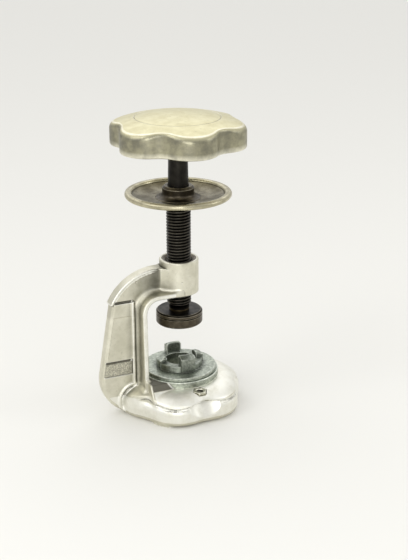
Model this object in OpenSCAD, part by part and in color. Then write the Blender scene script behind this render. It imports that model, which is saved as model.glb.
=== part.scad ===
// Bench-top watch case opener: a cast C-frame on a lobed foot carries a hollow clamp screw
// over a die with jaws. The saucer wheel turns the clamp screw down onto the watch; the
// scalloped knob on top turns the spindle inside it, which carries the fluted case key.
// Origin: the spindle's axis at the bench plane. The column stands at -X, +Z is up.

/* [Base] */
// Number of lobes round the foot
base_lobes = 6; // [5:1:8]
// Radius to the tip of a lobe
base_lobe_r = 40.9; // [40.5:0.1:46]
// Radius to the bottom of a notch
base_notch_r = 37.2; // [36.5:0.1:38]
// Radius of the hollow curve in each notch
base_notch_round = 8.2; // [6:0.2:12]
// Turn of the lobes from the column's direction
base_turn = 3; // [-10:1:10]
// Height of the flat that carries the die seat
base_top_z = 21; // [18:0.5:26]
// Radius at which the top starts to roll down to the rim
base_flat_r = 26; // [25.9:0.1:27]
// Radius of the rolled rim
base_roll_r = 20.5; // [20.5:0.1:21]
// Thickness of the skirt wall over the hollow underside
base_wall = 4; // [3:0.5:6]
// Depth of the hollow underside
base_hollow = 12.5; // [8:0.5:14]
// Radius of the post that stands under the die seat
post_r = 15; // [12:0.5:15]
// Radius to the tip of a lobe of the bulging skirt
skirt_lobe_r = 42.3; // [41.9:0.1:47]
// Radius to the bottom of a notch of the skirt
skirt_notch_r = 39.2; // [38.6:0.1:40]
// Height of the skirt
skirt_h = 14.4; // [13:0.2:15]
// Rounding of the skirt's lower and upper edge
skirt_round = 5; // [3:0.5:6]
// Radius of the finger hollow under each notch
finger_r = 20; // [16:0.5:22]
// Depth of the finger hollow behind the notch wall, just under the rim
finger_depth = 1.6; // [0.6:0.1:2]
// Thickness of the rim that overhangs each finger hollow
finger_rim = 1.3; // [1:0.1:2]
// Lean of the finger hollow's wall
finger_lean = 30; // [24:1:36]

/* [Column] */
// Inner face of the column, measured from the spindle's axis
column_x = 27.5; // [27:0.5:34]
// Thickness of the inner flange
flange_t = 3.2; // [2.5:0.1:4.5]
// Half of the flange's width at the foot
flange_foot_w = 15.1; // [14:0.1:18]
// Half of the web's thickness
web_half = 3.5; // [2.8:0.1:6]
// Fillet between web and flange
web_fillet = 4; // [2:0.5:6]
// Radius of the inner corner between column and arm
corner_r = 9; // [6:0.5:14]
// Radius of the belly at the column's foot
belly_r = 25.8; // [24:0.2:28]
// Distance of the belly's centre from the spindle's axis
belly_x = 31; // [29:0.5:34]
// Lean of the column's outer edge
column_lean = 9.5; // [7:0.5:11]
// Height of the smooth panel above the web's side
pad_h = 0.7; // [0.4:0.1:1.2]
// Depth of the rough patch let into that panel
patch_depth = 0.4; // [0.2:0.1:0.6]

/* [Arm and boss] */
// Underside of the boss and of the arm
boss_low_z = 80.8; // [76:0.2:90]
// Height of the boss
boss_h = 22.9; // [18:0.1:28]
// Radius of the boss
boss_r = 12.9; // [12.5:0.1:16]
// Radius of the arm's outer arc
arm_arc_r = 36.8; // [34:0.2:40]
// Height that the arm's top lies under the boss's top
arm_drop = 4.1; // [2:0.1:8]
// Radial width of the lip along the arm's outer arc
lip_w = 2.2; // [1.5:0.1:4]
// Height of that lip above the web's side
lip_h = 0.5; // [0.3:0.1:2]
// Fillet between the arm's web and the boss
boss_fillet = 6; // [3:0.5:8]
// Chamfer round the top of the boss
boss_chamfer = 0.9; // [0.4:0.1:1.2]

/* [Clamp screw] */
// Outer radius of the screw's thread
thread_r = 8; // [7.8:0.1:9]
// Advance of the screw for one turn
thread_pitch = 2; // [1.5:0.25:2.5]
// Length of the plain lower end
screw_tip = 3.2; // [2:0.2:5]
// Radius of the hollow screw's bore
screw_bore_r = 4.55; // [4:0.05:5]
// Outer radius of the threaded bush in the boss
bush_r = 11.3; // [10:0.1:11.5]
// Height of the shoulder that the bush stands on
bush_shoulder = 1.5; // [1:0.1:3]

/* [Saucer wheel] */
// Outer radius of the wheel
wheel_r = 34.4; // [28:0.2:40]
// Height of the top of the wheel's rim
wheel_top_z = 149; // [145:0.5:156]
// Radius of the rolled bead round the wheel
bead_r = 1.9; // [1.4:0.1:2.5]
// Thickness of the dished plate
dish_t = 2; // [1.5:0.1:3]
// Width of the bead, measured inward from the wheel's edge
bead_w = 4.8; // [4.4:0.1:6]
// Depth from the top of the bead to the middle of the dish
dish_depth = 4.3; // [3.5:0.1:6]
// Radius of the hub's top ring
hub_r = 10.3; // [9.8:0.1:12]
// Radius of the flare where the hub meets the dish
hub_flare_r = 14.7; // [13:0.1:18]
// Height of the hub above the dish
hub_h = 8; // [6:0.2:10]
// Radius of the neck under the dish
neck_r = 7.9; // [7.5:0.1:9]
// Length of the neck under the dish
neck_h = 2.4; // [1.5:0.1:5]
// Bevel round the hub's top
hub_bevel = 1.5; // [0.8:0.1:2]

/* [Spindle] */
// Radius of the spindle inside the screw
spindle_r = 4.5; // [3.9:0.05:4.5]
// Radius of the shank just above the hub
shank_low_r = 6.7; // [6:0.1:7]
// Radius of the shank just under the knob
shank_top_r = 6.1; // [5.6:0.1:6.7]
// Length of the shank between the hub's bearing and the knob
shank_h = 26.9; // [20:0.1:40]
// Radius of the spigot that carries the knob
spigot_r = 4; // [3.5:0.1:4.5]
// Thickness of the thrust washers
washer_t = 0.8; // [0.5:0.1:1.5]

/* [Hand knob] */
// Number of lobes round the knob
knob_lobes = 6; // [5:1:8]
// Radius to the tip of a knob lobe
knob_lobe_r = 43.9; // [38:0.1:50]
// Radius to the bottom of a knob notch
knob_notch_r = 37.6; // [36.5:0.1:39]
// Radius of the hollow curve in each knob notch
knob_notch_round = 13.5; // [10:0.5:18]
// Height of the knob at its middle
knob_h = 20.8; // [18:0.1:26]
// Radius of the rolled edge
knob_roll_r = 5; // [4:0.5:7]
// Radius of the sphere that domes the top
knob_dome_r = 115; // [100:5:200]
// Radius of the disc let into the top
cap_r = 27.3; // [24:0.1:32]
// Thickness of that disc at its edge
cap_t = 1.6; // [1.2:0.1:2.5]
// Chamfer round the knob's lower edge
knob_chamfer = 1.2; // [0.5:0.1:2]

/* [Key head] */
// Outer radius of the key holder
holder_r = 15.4; // [14.5:0.1:17]
// Height of the key holder
holder_h = 9; // [8:0.1:11]
// Height of the holder's underside in the drawn position
holder_low_z = 59; // [57:0.2:62]
// Outer radius of the case key
key_r = 12.8; // [12:0.1:13.2]
// Radius to the crest of the key's flutes
key_crest_r = 10.4; // [9.5:0.1:11]
// Number of flutes inside the key
key_flutes = 20; // [12:1:28]
// Depth of the fluted socket
key_depth = 4.2; // [3.6:0.1:5]
// Thickness of the key's floor
key_floor = 1.8; // [1.5:0.1:2.5]
// Thread radius of the screw that holds the key
key_screw_r = 2; // [1.5:0.1:2.2]

/* [Case die] */
// Radius of the seat ring on the base
seat_r = 25.8; // [25.5:0.1:25.9]
// Height of the seat ring
seat_h = 4.3; // [4.1:0.1:6]
// Radius of the die's flange
die_r = 24.4; // [22:0.2:25.4]
// Thickness of the die's flange
die_flange_h = 2.5; // [2:0.1:4]
// Outer radius of the crown that carries the jaws
crown_r = 15.4; // [14.5:0.1:17]
// Height of the crown above the flange
crown_h = 3.9; // [3:0.1:5]
// Radius of the die's central bore
die_bore_r = 9.6; // [8:0.1:10.5]
// Height of the two tall jaws above the crown
tall_jaw_h = 7.2; // [5:0.1:7.2]
// Width of the tall jaws
tall_jaw_w = 10.2; // [8:0.1:12]
// Height of the two low jaws above the crown
low_jaw_h = 3.4; // [2:0.1:5]
// Width of the low jaws
low_jaw_w = 7; // [5:0.1:9]
// Radius of the die's spigot in the seat
die_spigot_r = 12; // [11.5:0.1:13.5]
// Length of that spigot
die_spigot_h = 4; // [3:0.1:4]
// Radius of the pin that keeps the die from turning
pin_r = 1.5; // [1:0.1:2]
// Distance of that pin from the axis
pin_dist = 18.8; // [18.5:0.1:21]
// Direction of that pin from the axis
pin_angle = 39; // [0:1:40]

/* [Fasteners] */
// Width across the flats of the bench nut
nut_flats = 8; // [7:0.1:10]
// Height of the bench nut
nut_h = 4; // [3:0.1:5]
// Radius inside the bench nut's thread
nut_hole_r = 2.1; // [1.6:0.05:2.5]
// Distance of the bench nut from the axis
nut_dist = 30.4; // [29.5:0.1:31]
// Thread radius of the screws under the die seat
seat_screw_r = 1.5; // [1.25:0.25:2]
// Distance of those screws from the axis
seat_screw_dist = 18.5; // [17:0.1:20]
// Thread radius of the wheel's grub screws
grub_r = 1.5; // [1:0.25:1.75]
// Width across the flats of the knob nut
knob_nut_flats = 13; // [11:0.5:14]
// Height of the knob nut
knob_nut_h = 5; // [4:0.5:6]

/* [Fits] */
// Radial clearance of a running fit
run_fit = 0.05; // [0.02:0.01:0.08]
// Radial clearance of pieces that stay together
seat_fit = 0.03; // [0.02:0.01:0.05]

/* [Hidden] */
$fn = 96;
// Overshoot of cuts, so that no face lies on another
cut = 1;
// Base
base_dome_z = base_top_z - base_roll_r;
base_half_step = 180 / base_lobes;
rim_z = base_dome_z + sqrt(pow(base_roll_r, 2) - pow(base_notch_r - base_flat_r, 2));
finger_dist = base_notch_r - finger_depth + finger_r;
finger_h = (skirt_notch_r + cut - base_notch_r + finger_depth) / tan(finger_lean);
skirt_notch_round = 68;
pad_foot_half = 24.5;
pad_top_half = 20.3;
pad_top_z = base_top_z + seat_h;
nut_top_z = base_dome_z + sqrt(pow(base_roll_r, 2) - pow(nut_dist - base_flat_r, 2)) + 0.2;
nut_corner_r = nut_flats / sqrt(3);
nut_boss_r = nut_corner_r + 1.4;
screw_head_r = 2 * seat_screw_r;
screw_head_h = 2 * seat_screw_r;
seat_screw_reach = seat_h - 0.8;
// Column and arm
corner_x = -column_x + corner_r;
corner_z = boss_low_z - corner_r;
boss_top_z = boss_low_z + boss_h;
arm_top_z = boss_top_z - arm_drop;
arc_x = -column_x - flange_t + 14.7;
arc_z = arm_top_z - arm_arc_r;
lean_low_x = -belly_x - belly_r * cos(column_lean);
lean_low_z = belly_r + belly_r * sin(column_lean);
lip_end_z = boss_low_z - 1.8;
panel_low_z = 27;
panel_bend_r = 12.1;
panel_bend_x = -column_x - 5.5;
panel_bend_z = 9.5;
patch_low_z = 28.6;
patch_top_z = 38.6;
panel_margin = 1.2;
patch_margin = 0.9;
fillet_y = web_half + boss_fillet;
fillet_x = -sqrt(pow(boss_r + boss_fillet, 2) - pow(fillet_y, 2));
// Key head and spindle
holder_top_z = holder_low_z + holder_h;
key_low_z = holder_low_z + 0.2;
key_floor_z = key_low_z + key_depth;
spindle_low_z = key_floor_z + key_floor;
washer_low_top_z = holder_top_z + washer_t;
drive_pin_r = 1;
drive_pin_z = (spindle_low_z + holder_top_z) / 2;
flute_r = PI * key_crest_r / key_flutes * 0.62;
// Clamp screw and wheel
thread_root_r = thread_r - 0.65 * thread_pitch;
dish_mid_z = wheel_top_z - dish_depth;
hub_top_z = dish_mid_z + hub_h;
neck_low_z = dish_mid_z - dish_t - neck_h;
bead_mid_r = wheel_r - bead_r;
bead_mid_z = wheel_top_z - bead_r;
bead_in_r = wheel_r - bead_w + bead_r;
counterbore_z = hub_top_z - 2;
screw_shoulder_z = neck_low_z;
screw_top_z = counterbore_z - 1.2;
hub_foot = 0.5;
grub_z = dish_mid_z + 3.6;
grub_in = thread_root_r + 0.1;
grub_sides = [21, 111];
// Knob
shank_low_z = counterbore_z + washer_t;
knob_low_z = shank_low_z + shank_h;
knob_top_z = knob_low_z + knob_h;
dome_z = knob_top_z - knob_dome_r;
roll_mid_r = knob_lobe_r - knob_roll_r;
cap_edge_z = dome_z + sqrt(pow(knob_dome_r, 2) - pow(cap_r, 2));
cap_low_z = cap_edge_z - cap_t;
pocket_z = cap_low_z - knob_nut_h - 2;
pocket_r = knob_nut_flats / sqrt(3) + 1.2;
knob_washer_t = 1.2;
knob_key_w = 2.5;
knob_key_h = pocket_z - knob_low_z - 2.2;
// Die
seat_top_z = base_top_z + seat_h;
flange_top_z = seat_top_z + die_flange_h;
crown_top_z = flange_top_z + crown_h;
die_low_z = seat_top_z - die_spigot_h;
jaw_in_r = die_bore_r + 1.2;
jaw_out_r = crown_r + 0.6;
jaw_round = 1.4;

// Radius of the lobe arc that runs into the notch arcs without a corner.
function lobe_round(lobe_r, notch_r, notch_round, half) =
    let (far = notch_r + notch_round)
    (pow(lobe_r, 2) + pow(far, 2) - 2 * far * lobe_r * cos(half) - pow(notch_round, 2))
        / (2 * (lobe_r - far * cos(half) + notch_round));

// Lobed outline: lobe arcs and notch arcs in turn, the first lobe on +X.
module lobed_outline(lobe_r, notch_r, notch_round, count) {
    half = 180 / count;
    round_r = lobe_round(lobe_r, notch_r, notch_round, half);
    mid_r = lobe_r - round_r;
    far = notch_r + notch_round;
    difference() {
        union() {
            polygon([for (i = [0 : 2 * count - 1])
                let (r = i % 2 == 0 ? mid_r : far) [r * cos(i * half), r * sin(i * half)]]);
            for (i = [0 : count - 1])
                rotate(2 * i * half)
                    translate([mid_r, 0])
                        circle(r = round_r);
        }
        for (i = [0 : count - 1])
            rotate((2 * i + 1) * half)
                translate([far, 0])
                    circle(r = notch_round);
    }
}

// Section of a disc whose lower and upper edges are rounded.
module rounded_section(r, h, round) {
    square([r - round, h]);
    translate([0, round])
        square([r, h - 2 * round]);
    for (z = [round, h - round])
        translate([r - round, z])
            circle(r = round);
}

// Stands a drawing of X and Z upright, with its thickness shared about Y = 0.
module upright(thickness) {
    rotate([90, 0, 0])
        linear_extrude(thickness, center = true)
            children();
}

module tube(outer, inner, height) {
    difference() {
        cylinder(r = outer, h = height);
        translate([0, 0, -cut])
            cylinder(r = inner, h = height + 2 * cut);
    }
}

// The foot's outline, drawn in by the given inset.
module foot_outline(inset) {
    rotate(base_turn)
        lobed_outline(base_lobe_r - inset, base_notch_r - inset, base_notch_round + inset, base_lobes);
}

module base_dome() {
    rotate_extrude() {
        square([base_flat_r, base_top_z]);
        intersection() {
            translate([base_flat_r, base_dome_z])
                circle(r = base_roll_r);
            square([skirt_lobe_r + cut, base_top_z]);
        }
        square([base_flat_r + base_roll_r, base_dome_z]);
    }
}

// Bulging lower part of the foot, with rounded lower and upper edges.
module base_skirt() {
    intersection() {
        translate([0, 0, -cut])
            linear_extrude(skirt_h + 2 * cut)
                rotate(base_turn)
                    lobed_outline(skirt_lobe_r, skirt_notch_r, skirt_notch_round, base_lobes);
        rotate_extrude()
            rounded_section(skirt_lobe_r + 0.2, skirt_h, skirt_round);
    }
}

module base_body() {
    difference() {
        union() {
            intersection() {
                translate([0, 0, skirt_h / 2])
                    linear_extrude(base_top_z - skirt_h / 2)
                        foot_outline(0);
                base_dome();
            }
            base_skirt();
        }
        for (i = [0 : base_lobes - 2])
            rotate([0, 0, base_turn + (2 * i + 3) * base_half_step - 180])
                translate([finger_dist, 0, rim_z - finger_rim - finger_h])
                    cylinder(r1 = finger_r - finger_h * tan(finger_lean), r2 = finger_r, h = finger_h);
    }
}

// Low pad with sloping sides that ties the column's foot to the die seat.
module seat_bridge() {
    difference() {
        intersection() {
            translate([-column_x - flange_t / 2, 0, 0])
                rotate([90, 0, 90])
                    linear_extrude(column_x)
                        polygon([[-pad_foot_half, base_dome_z], [-pad_foot_half, base_top_z - 3],
                                 [-pad_top_half, pad_top_z], [pad_top_half, pad_top_z],
                                 [pad_foot_half, base_top_z - 3], [pad_foot_half, base_dome_z]]);
            linear_extrude(pad_top_z)
                foot_outline(0);
        }
        translate([0, 0, base_top_z])
            cylinder(r = seat_r + run_fit, h = seat_h + cut);
    }
}

// Section of the column: depth outward from the inner face, and half widths about Y = 0.
module column_section(depth) {
    translate([0, -flange_foot_w])
        square([flange_t, 2 * flange_foot_w]);
    translate([0, -web_half])
        square([depth, 2 * web_half]);
    for (side = [-1, 1])
        scale([1, side])
            difference() {
                translate([flange_t, 0])
                    square([web_fillet, web_half + web_fillet]);
                translate([flange_t + web_fillet, web_half + web_fillet])
                    circle(r = web_fillet);
            }
}

// The flange narrows from its foot to the boss.
module flange_taper() {
    translate([-column_x - 4 * corner_r, 0, 0])
        rotate([90, 0, 90])
            linear_extrude(column_x + 4 * corner_r)
                polygon([[-flange_foot_w, 0], [-flange_foot_w, base_top_z], [-boss_r, boss_low_z],
                         [-boss_r, boss_top_z], [boss_r, boss_top_z], [boss_r, boss_low_z],
                         [flange_foot_w, base_top_z], [flange_foot_w, 0]]);
}

module column_flange() {
    depth = flange_t + web_fillet + cut;
    intersection() {
        union() {
            translate([-column_x, 0, base_top_z / 2])
                linear_extrude(corner_z - base_top_z / 2)
                    scale([-1, 1])
                        column_section(depth);
            translate([corner_x, 0, corner_z])
                rotate([90, 0, 0])
                    rotate([0, 0, 90])
                        rotate_extrude(angle = 90)
                            translate([corner_r, 0])
                                column_section(depth);
            translate([corner_x, 0, boss_low_z])
                rotate([0, -90, 0])
                    mirror([0, 0, 1])
                        linear_extrude(-corner_x)
                            column_section(depth);
        }
        flange_taper();
    }
}

function lean_x(z) = lean_low_x + (z - lean_low_z) * tan(column_lean);

// Side view of the web: leaning column, round belly and the arm's outer arc.
module web_outline() {
    back_x = -column_x - 1;
    difference() {
        union() {
            intersection() {
                translate([-belly_x, belly_r])
                    circle(r = belly_r);
                translate([-belly_x - belly_r, 0])
                    square([belly_r + belly_x + back_x, base_top_z * 2]);
            }
            polygon([[lean_low_x, lean_low_z], [lean_x(lip_end_z + 1), lip_end_z + 1],
                     [back_x, lip_end_z + 1], [back_x, base_top_z / 2], [-belly_x, base_top_z / 2]]);
            intersection() {
                translate([arc_x, arc_z])
                    circle(r = arm_arc_r);
                translate([arc_x - arm_arc_r, lip_end_z])
                    square([arm_arc_r - arc_x, boss_h + 8]);
            }
        }
        translate([corner_x, corner_z])
            circle(r = corner_r + 1);
        translate([corner_x, corner_z - corner_r])
            square([-corner_x + cut, 2 * corner_r + 1]);
    }
}

module arm_lip() {
    intersection() {
        difference() {
            translate([arc_x, arc_z])
                circle(r = arm_arc_r);
            translate([arc_x, arc_z])
                circle(r = arm_arc_r - lip_w);
        }
        translate([arc_x - arm_arc_r, lip_end_z])
            square([arm_arc_r - arc_x - boss_r / 2, boss_h + 8]);
    }
}

// Face of the column between two heights, drawn in from its two long edges.
module side_face(low_z, top_z, inset) {
    edge_x = -column_x - flange_t - web_fillet - inset;
    polygon([[edge_x, low_z], [edge_x, top_z],
             [lean_x(top_z) + panel_margin + inset, top_z], [lean_x(low_z) + panel_margin + inset, low_z]]);
}

// Flank of the belly under that face, bounded inward by a round hollow.
module belly_face() {
    difference() {
        intersection() {
            translate([-belly_x, belly_r])
                circle(r = belly_r - panel_margin);
            translate([-belly_x - belly_r, 0])
                square([belly_r + belly_x - column_x - flange_t - web_fillet, panel_low_z + 1]);
        }
        translate([panel_bend_x, panel_bend_z])
            circle(r = panel_bend_r);
    }
}

module boss_fillets() {
    translate([0, 0, boss_low_z + flange_t])
        linear_extrude(arm_top_z - boss_low_z - flange_t - 0.4)
            for (side = [-1, 1])
                difference() {
                    scale([1, side])
                        polygon([[fillet_x, 0], [fillet_x, fillet_y],
                                 [fillet_x * boss_r / (boss_r + boss_fillet),
                                  fillet_y * boss_r / (boss_r + boss_fillet)], [0, 0]]);
                    translate([fillet_x, side * fillet_y])
                        circle(r = boss_fillet);
                }
}

module boss() {
    rotate_extrude()
        polygon([[0, boss_low_z], [boss_r, boss_low_z], [boss_r, boss_top_z - boss_chamfer],
                 [boss_r - boss_chamfer, boss_top_z], [0, boss_top_z]]);
}

// Hollow under the foot, with the posts under the die seat and the nut left standing.
module foot_hollow() {
    difference() {
        translate([0, 0, -cut])
            linear_extrude(base_hollow + cut)
                foot_outline(base_wall);
        translate([-base_lobe_r - column_x, -base_lobe_r, -2 * cut])
            cube([base_lobe_r, 2 * base_lobe_r, base_hollow + 3 * cut]);
        at_nut([0, 0, -2 * cut])
            cylinder(r = nut_boss_r, h = base_hollow + 3 * cut);
        translate([0, 0, -2 * cut])
            cylinder(r = post_r, h = base_hollow + 3 * cut);
    }
}

module frame_casting() {
    color("#c9c7b5")
        difference() {
            union() {
                base_body();
                seat_bridge();
                column_flange();
                upright(2 * web_half)
                    web_outline();
                upright(2 * (web_half + lip_h))
                    arm_lip();
                upright(2 * (web_half + pad_h)) {
                    side_face(panel_low_z, lip_end_z, 0);
                    belly_face();
                }
                boss_fillets();
                boss();
            }
            foot_hollow();
            for (side = [-1, 1])
                translate([0, side * (web_half + pad_h), 0])
                    upright(2 * patch_depth)
                        side_face(patch_low_z, patch_top_z, patch_margin);
            translate([0, 0, boss_low_z - cut])
                cylinder(r = bush_r - 1.4, h = boss_h + 2 * cut);
            translate([0, 0, boss_low_z + bush_shoulder])
                cylinder(r = bush_r + seat_fit, h = boss_h + cut);
            for (i = [0 : 2])
                rotate([0, 0, 60 + 120 * i])
                    translate([seat_screw_dist, 0, -cut])
                        cylinder(r = seat_screw_r + 0.1, h = base_top_z + 2 * cut);
            at_nut([0, 0, nut_top_z - nut_h])
                cylinder(r = nut_corner_r + seat_fit, h = nut_h + cut, $fn = 6);
            at_nut([0, 0, -cut])
                cylinder(r = nut_hole_r + 0.65, h = base_top_z);
        }
}

module threaded_bush() {
    color("#3a352c")
        translate([0, 0, boss_low_z + bush_shoulder])
            tube(bush_r, thread_r + run_fit, boss_h - bush_shoulder - 0.2);
}

module die_seat() {
    color("#8e8f85")
        difference() {
            translate([0, 0, base_top_z])
                tube(seat_r, die_spigot_r + run_fit, seat_h);
            rotate([0, 0, pin_angle])
                translate([pin_dist, 0, base_top_z - cut])
                    cylinder(r = pin_r + seat_fit, h = seat_h + 2 * cut);
            for (i = [0 : 2])
                rotate([0, 0, 60 + 120 * i])
                    translate([seat_screw_dist, 0, base_top_z - cut])
                        cylinder(r = seat_screw_r + seat_fit, h = seat_screw_reach + cut);
        }
}

module seat_screws() {
    color("#5b5a55")
        for (i = [0 : 2])
            rotate([0, 0, 60 + 120 * i])
                translate([seat_screw_dist, 0, 0]) {
                    translate([0, 0, base_hollow - screw_head_h])
                        difference() {
                            cylinder(r = screw_head_r, h = screw_head_h);
                            translate([0, 0, -cut])
                                cylinder(r = seat_screw_r, h = screw_head_h / 2 + cut, $fn = 6);
                        }
                    translate([0, 0, base_hollow - 0.1])
                        cylinder(r = seat_screw_r, h = base_top_z + seat_screw_reach - base_hollow);
                }
}

module locating_pin() {
    color("#6b6a63")
        rotate([0, 0, pin_angle])
            translate([pin_dist, 0, base_top_z])
                cylinder(r = pin_r, h = seat_h + die_flange_h - 0.6);
}

// Places its children where the bench nut stands, behind the front notch.
module at_nut(place) {
    rotate([0, 0, base_turn])
        translate([0, -nut_dist, 0])
            translate(place)
                children();
}

module bench_nut() {
    color("#b9b7a2")
        at_nut([0, 0, nut_top_z - nut_h])
            difference() {
                intersection() {
                    cylinder(r = nut_corner_r, h = nut_h, $fn = 6);
                    rotate_extrude()
                        polygon([[0, 0], [nut_corner_r, 0], [nut_corner_r, nut_h - 0.5],
                                 [nut_flats / 2, nut_h], [0, nut_h]]);
                }
                translate([0, 0, -cut])
                    cylinder(r = nut_hole_r, h = nut_h + 2 * cut);
            }
}

// Front view of a jaw: a block with rounded top corners.
module jaw_front(width, height) {
    translate([-width / 2, 0])
        square([width, height - jaw_round]);
    translate([-width / 2 + jaw_round, 0])
        square([width - 2 * jaw_round, height]);
    for (side = [-1, 1])
        translate([side * (width / 2 - jaw_round), height - jaw_round])
            circle(r = jaw_round);
}

// One jaw: its section turned about the axis, then cut to its width.
module jaw(width, height) {
    full_h = crown_h + height;
    slope = min(1.9, height / 2);
    translate([0, 0, flange_top_z])
        intersection() {
            rotate_extrude()
                polygon([[jaw_in_r, 0], [jaw_out_r, 0], [jaw_out_r, full_h - slope],
                         [jaw_out_r - 1, full_h - slope / 2], [jaw_in_r + 1.6, full_h],
                         [jaw_in_r + 0.3, full_h], [jaw_in_r, full_h - 0.3]]);
            rotate([90, 0, 90])
                linear_extrude(jaw_out_r + cut)
                    jaw_front(width, full_h);
        }
}

module case_die() {
    color("#8f9690")
        difference() {
            union() {
                translate([0, 0, die_low_z])
                    cylinder(r = die_spigot_r, h = die_spigot_h + die_flange_h);
                rotate_extrude()
                    polygon([[0, seat_top_z], [die_r - 0.4, seat_top_z], [die_r, seat_top_z + 0.4],
                             [die_r, flange_top_z - 0.9], [die_r - 0.9, flange_top_z],
                             [crown_r, flange_top_z], [crown_r - 0.5, crown_top_z],
                             [0, crown_top_z]]);
                for (side = [90, -90])
                    rotate([0, 0, side])
                        jaw(tall_jaw_w, tall_jaw_h);
                for (side = [0, 180])
                    rotate([0, 0, side])
                        jaw(low_jaw_w, low_jaw_h);
            }
            translate([0, 0, die_low_z - cut])
                cylinder(r = die_bore_r, h = die_spigot_h + die_flange_h + crown_h + 2 * cut);
            rotate([0, 0, pin_angle])
                translate([pin_dist, 0, seat_top_z - cut])
                    cylinder(r = pin_r + run_fit, h = die_flange_h + 2 * cut);
        }
}

module lower_thrust_washer() {
    color("#a98b4a")
        translate([0, 0, holder_top_z])
            tube(thread_root_r, spindle_r + run_fit, washer_t);
}

module upper_thrust_washer() {
    color("#a98b4a")
        translate([0, 0, counterbore_z])
            tube(shank_low_r, spindle_r + run_fit, washer_t);
}

module clamp_screw() {
    color("#23221f")
        difference() {
            union() {
                translate([0, 0, washer_low_top_z])
                    cylinder(r = thread_root_r, h = screw_top_z - washer_low_top_z);
                translate([0, 0, washer_low_top_z + screw_tip])
                    cylinder(r = thread_r, h = screw_shoulder_z - washer_low_top_z - screw_tip);
            }
            translate([0, 0, washer_low_top_z - cut])
                cylinder(r = screw_bore_r, h = screw_top_z - washer_low_top_z + 2 * cut);
        }
}

module wheel_hub() {
    flare = hub_flare_r - hub_r;
    color("#3b3a33")
        difference() {
            rotate_extrude() {
                polygon([[0, neck_low_z], [neck_r, neck_low_z], [neck_r, dish_mid_z - dish_t],
                         [hub_r, dish_mid_z - dish_t], [hub_r, hub_top_z - hub_bevel],
                         [hub_r - hub_bevel, hub_top_z], [0, hub_top_z]]);
                difference() {
                    translate([hub_r - 1, dish_mid_z])
                        square([flare + 1, flare + hub_foot]);
                    translate([hub_flare_r, dish_mid_z + hub_foot + flare])
                        circle(r = flare);
                }
            }
            translate([0, 0, neck_low_z - cut])
                cylinder(r = thread_root_r + seat_fit, h = screw_top_z - neck_low_z + cut);
            translate([0, 0, screw_top_z - cut])
                cylinder(r = screw_bore_r, h = hub_h);
            translate([0, 0, counterbore_z])
                cylinder(r = shank_low_r + 0.3, h = hub_h);
            for (side = grub_sides)
                rotate([0, 0, side])
                    translate([grub_in, 0, grub_z])
                        rotate([0, 90, 0])
                            cylinder(r = grub_r + seat_fit, h = hub_flare_r);
        }
}

// Dished plate with a rolled bead: flat under the hub's flare, then a shallow bowl up to the rim.
function dish_rise(r) = (bead_mid_z - dish_mid_z + dish_t / 2)
    * pow(max(r - hub_flare_r, 0) / (bead_mid_r - hub_flare_r), 2);
module wheel_dish() {
    steps = 10;
    radii = concat([hub_r + seat_fit],
                   [for (i = [0 : steps]) hub_flare_r + (bead_mid_r - hub_flare_r) * i / steps]);
    color("#8a866c")
        rotate_extrude() {
            polygon(concat([for (r = radii) [r, dish_mid_z - dish_t + dish_rise(r)]],
                           [for (i = [steps + 1 : -1 : 0]) [radii[i], dish_mid_z + dish_rise(radii[i])]]));
            for (r = [bead_in_r, bead_mid_r])
                translate([r, bead_mid_z])
                    circle(r = bead_r);
            translate([bead_in_r, bead_mid_z - bead_r])
                square([bead_mid_r - bead_in_r, 2 * bead_r]);
        }
}

module wheel_grub_screws() {
    color("#2e2d29")
        for (side = grub_sides)
            rotate([0, 0, side])
                translate([grub_in, 0, grub_z])
                    rotate([0, 90, 0])
                        difference() {
                            cylinder(r = grub_r, h = hub_r - grub_in - 0.2);
                            translate([0, 0, (hub_r - grub_in) / 2])
                                cylinder(r = grub_r / 2, h = hub_r, $fn = 6);
                        }
}

module drive_spindle() {
    color("#2b2a28")
        difference() {
            union() {
                translate([0, 0, spindle_low_z])
                    cylinder(r = spindle_r, h = shank_low_z - spindle_low_z);
                translate([0, 0, shank_low_z])
                    cylinder(r1 = shank_low_r, r2 = shank_top_r, h = shank_h);
                translate([0, 0, knob_low_z])
                    cylinder(r = spigot_r, h = cap_low_z - 0.6 - knob_low_z);
            }
            translate([0, 0, spindle_low_z - cut])
                cylinder(r = key_screw_r + seat_fit, h = 9 + cut);
            translate([0, 0, drive_pin_z])
                rotate([-90, 0, 0])
                    cylinder(r = drive_pin_r + seat_fit, h = spindle_r + cut);
            translate([spigot_r - knob_key_w / 2, -knob_key_w / 2, knob_low_z + 2])
                cube([knob_key_w, knob_key_w, knob_key_h]);
        }
}

module key_holder() {
    color("#46413a")
        difference() {
            rotate_extrude()
                polygon([[0, holder_low_z], [holder_r - 0.8, holder_low_z],
                         [holder_r, holder_low_z + 0.8], [holder_r, holder_low_z + 5.6],
                         [holder_r - 0.25, holder_low_z + 5.8], [holder_r - 0.25, holder_low_z + 6.2],
                         [holder_r, holder_low_z + 6.4], [holder_r, holder_top_z - 1],
                         [holder_r - 1, holder_top_z], [0, holder_top_z]]);
            translate([0, 0, holder_low_z - cut])
                cylinder(r = key_r + seat_fit, h = spindle_low_z - holder_low_z + cut);
            translate([0, 0, holder_low_z])
                cylinder(r = spindle_r + seat_fit, h = holder_h + cut);
            translate([0, 0, drive_pin_z])
                rotate([-90, 0, 0])
                    cylinder(r = drive_pin_r + seat_fit, h = holder_r + cut);
        }
}

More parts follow.
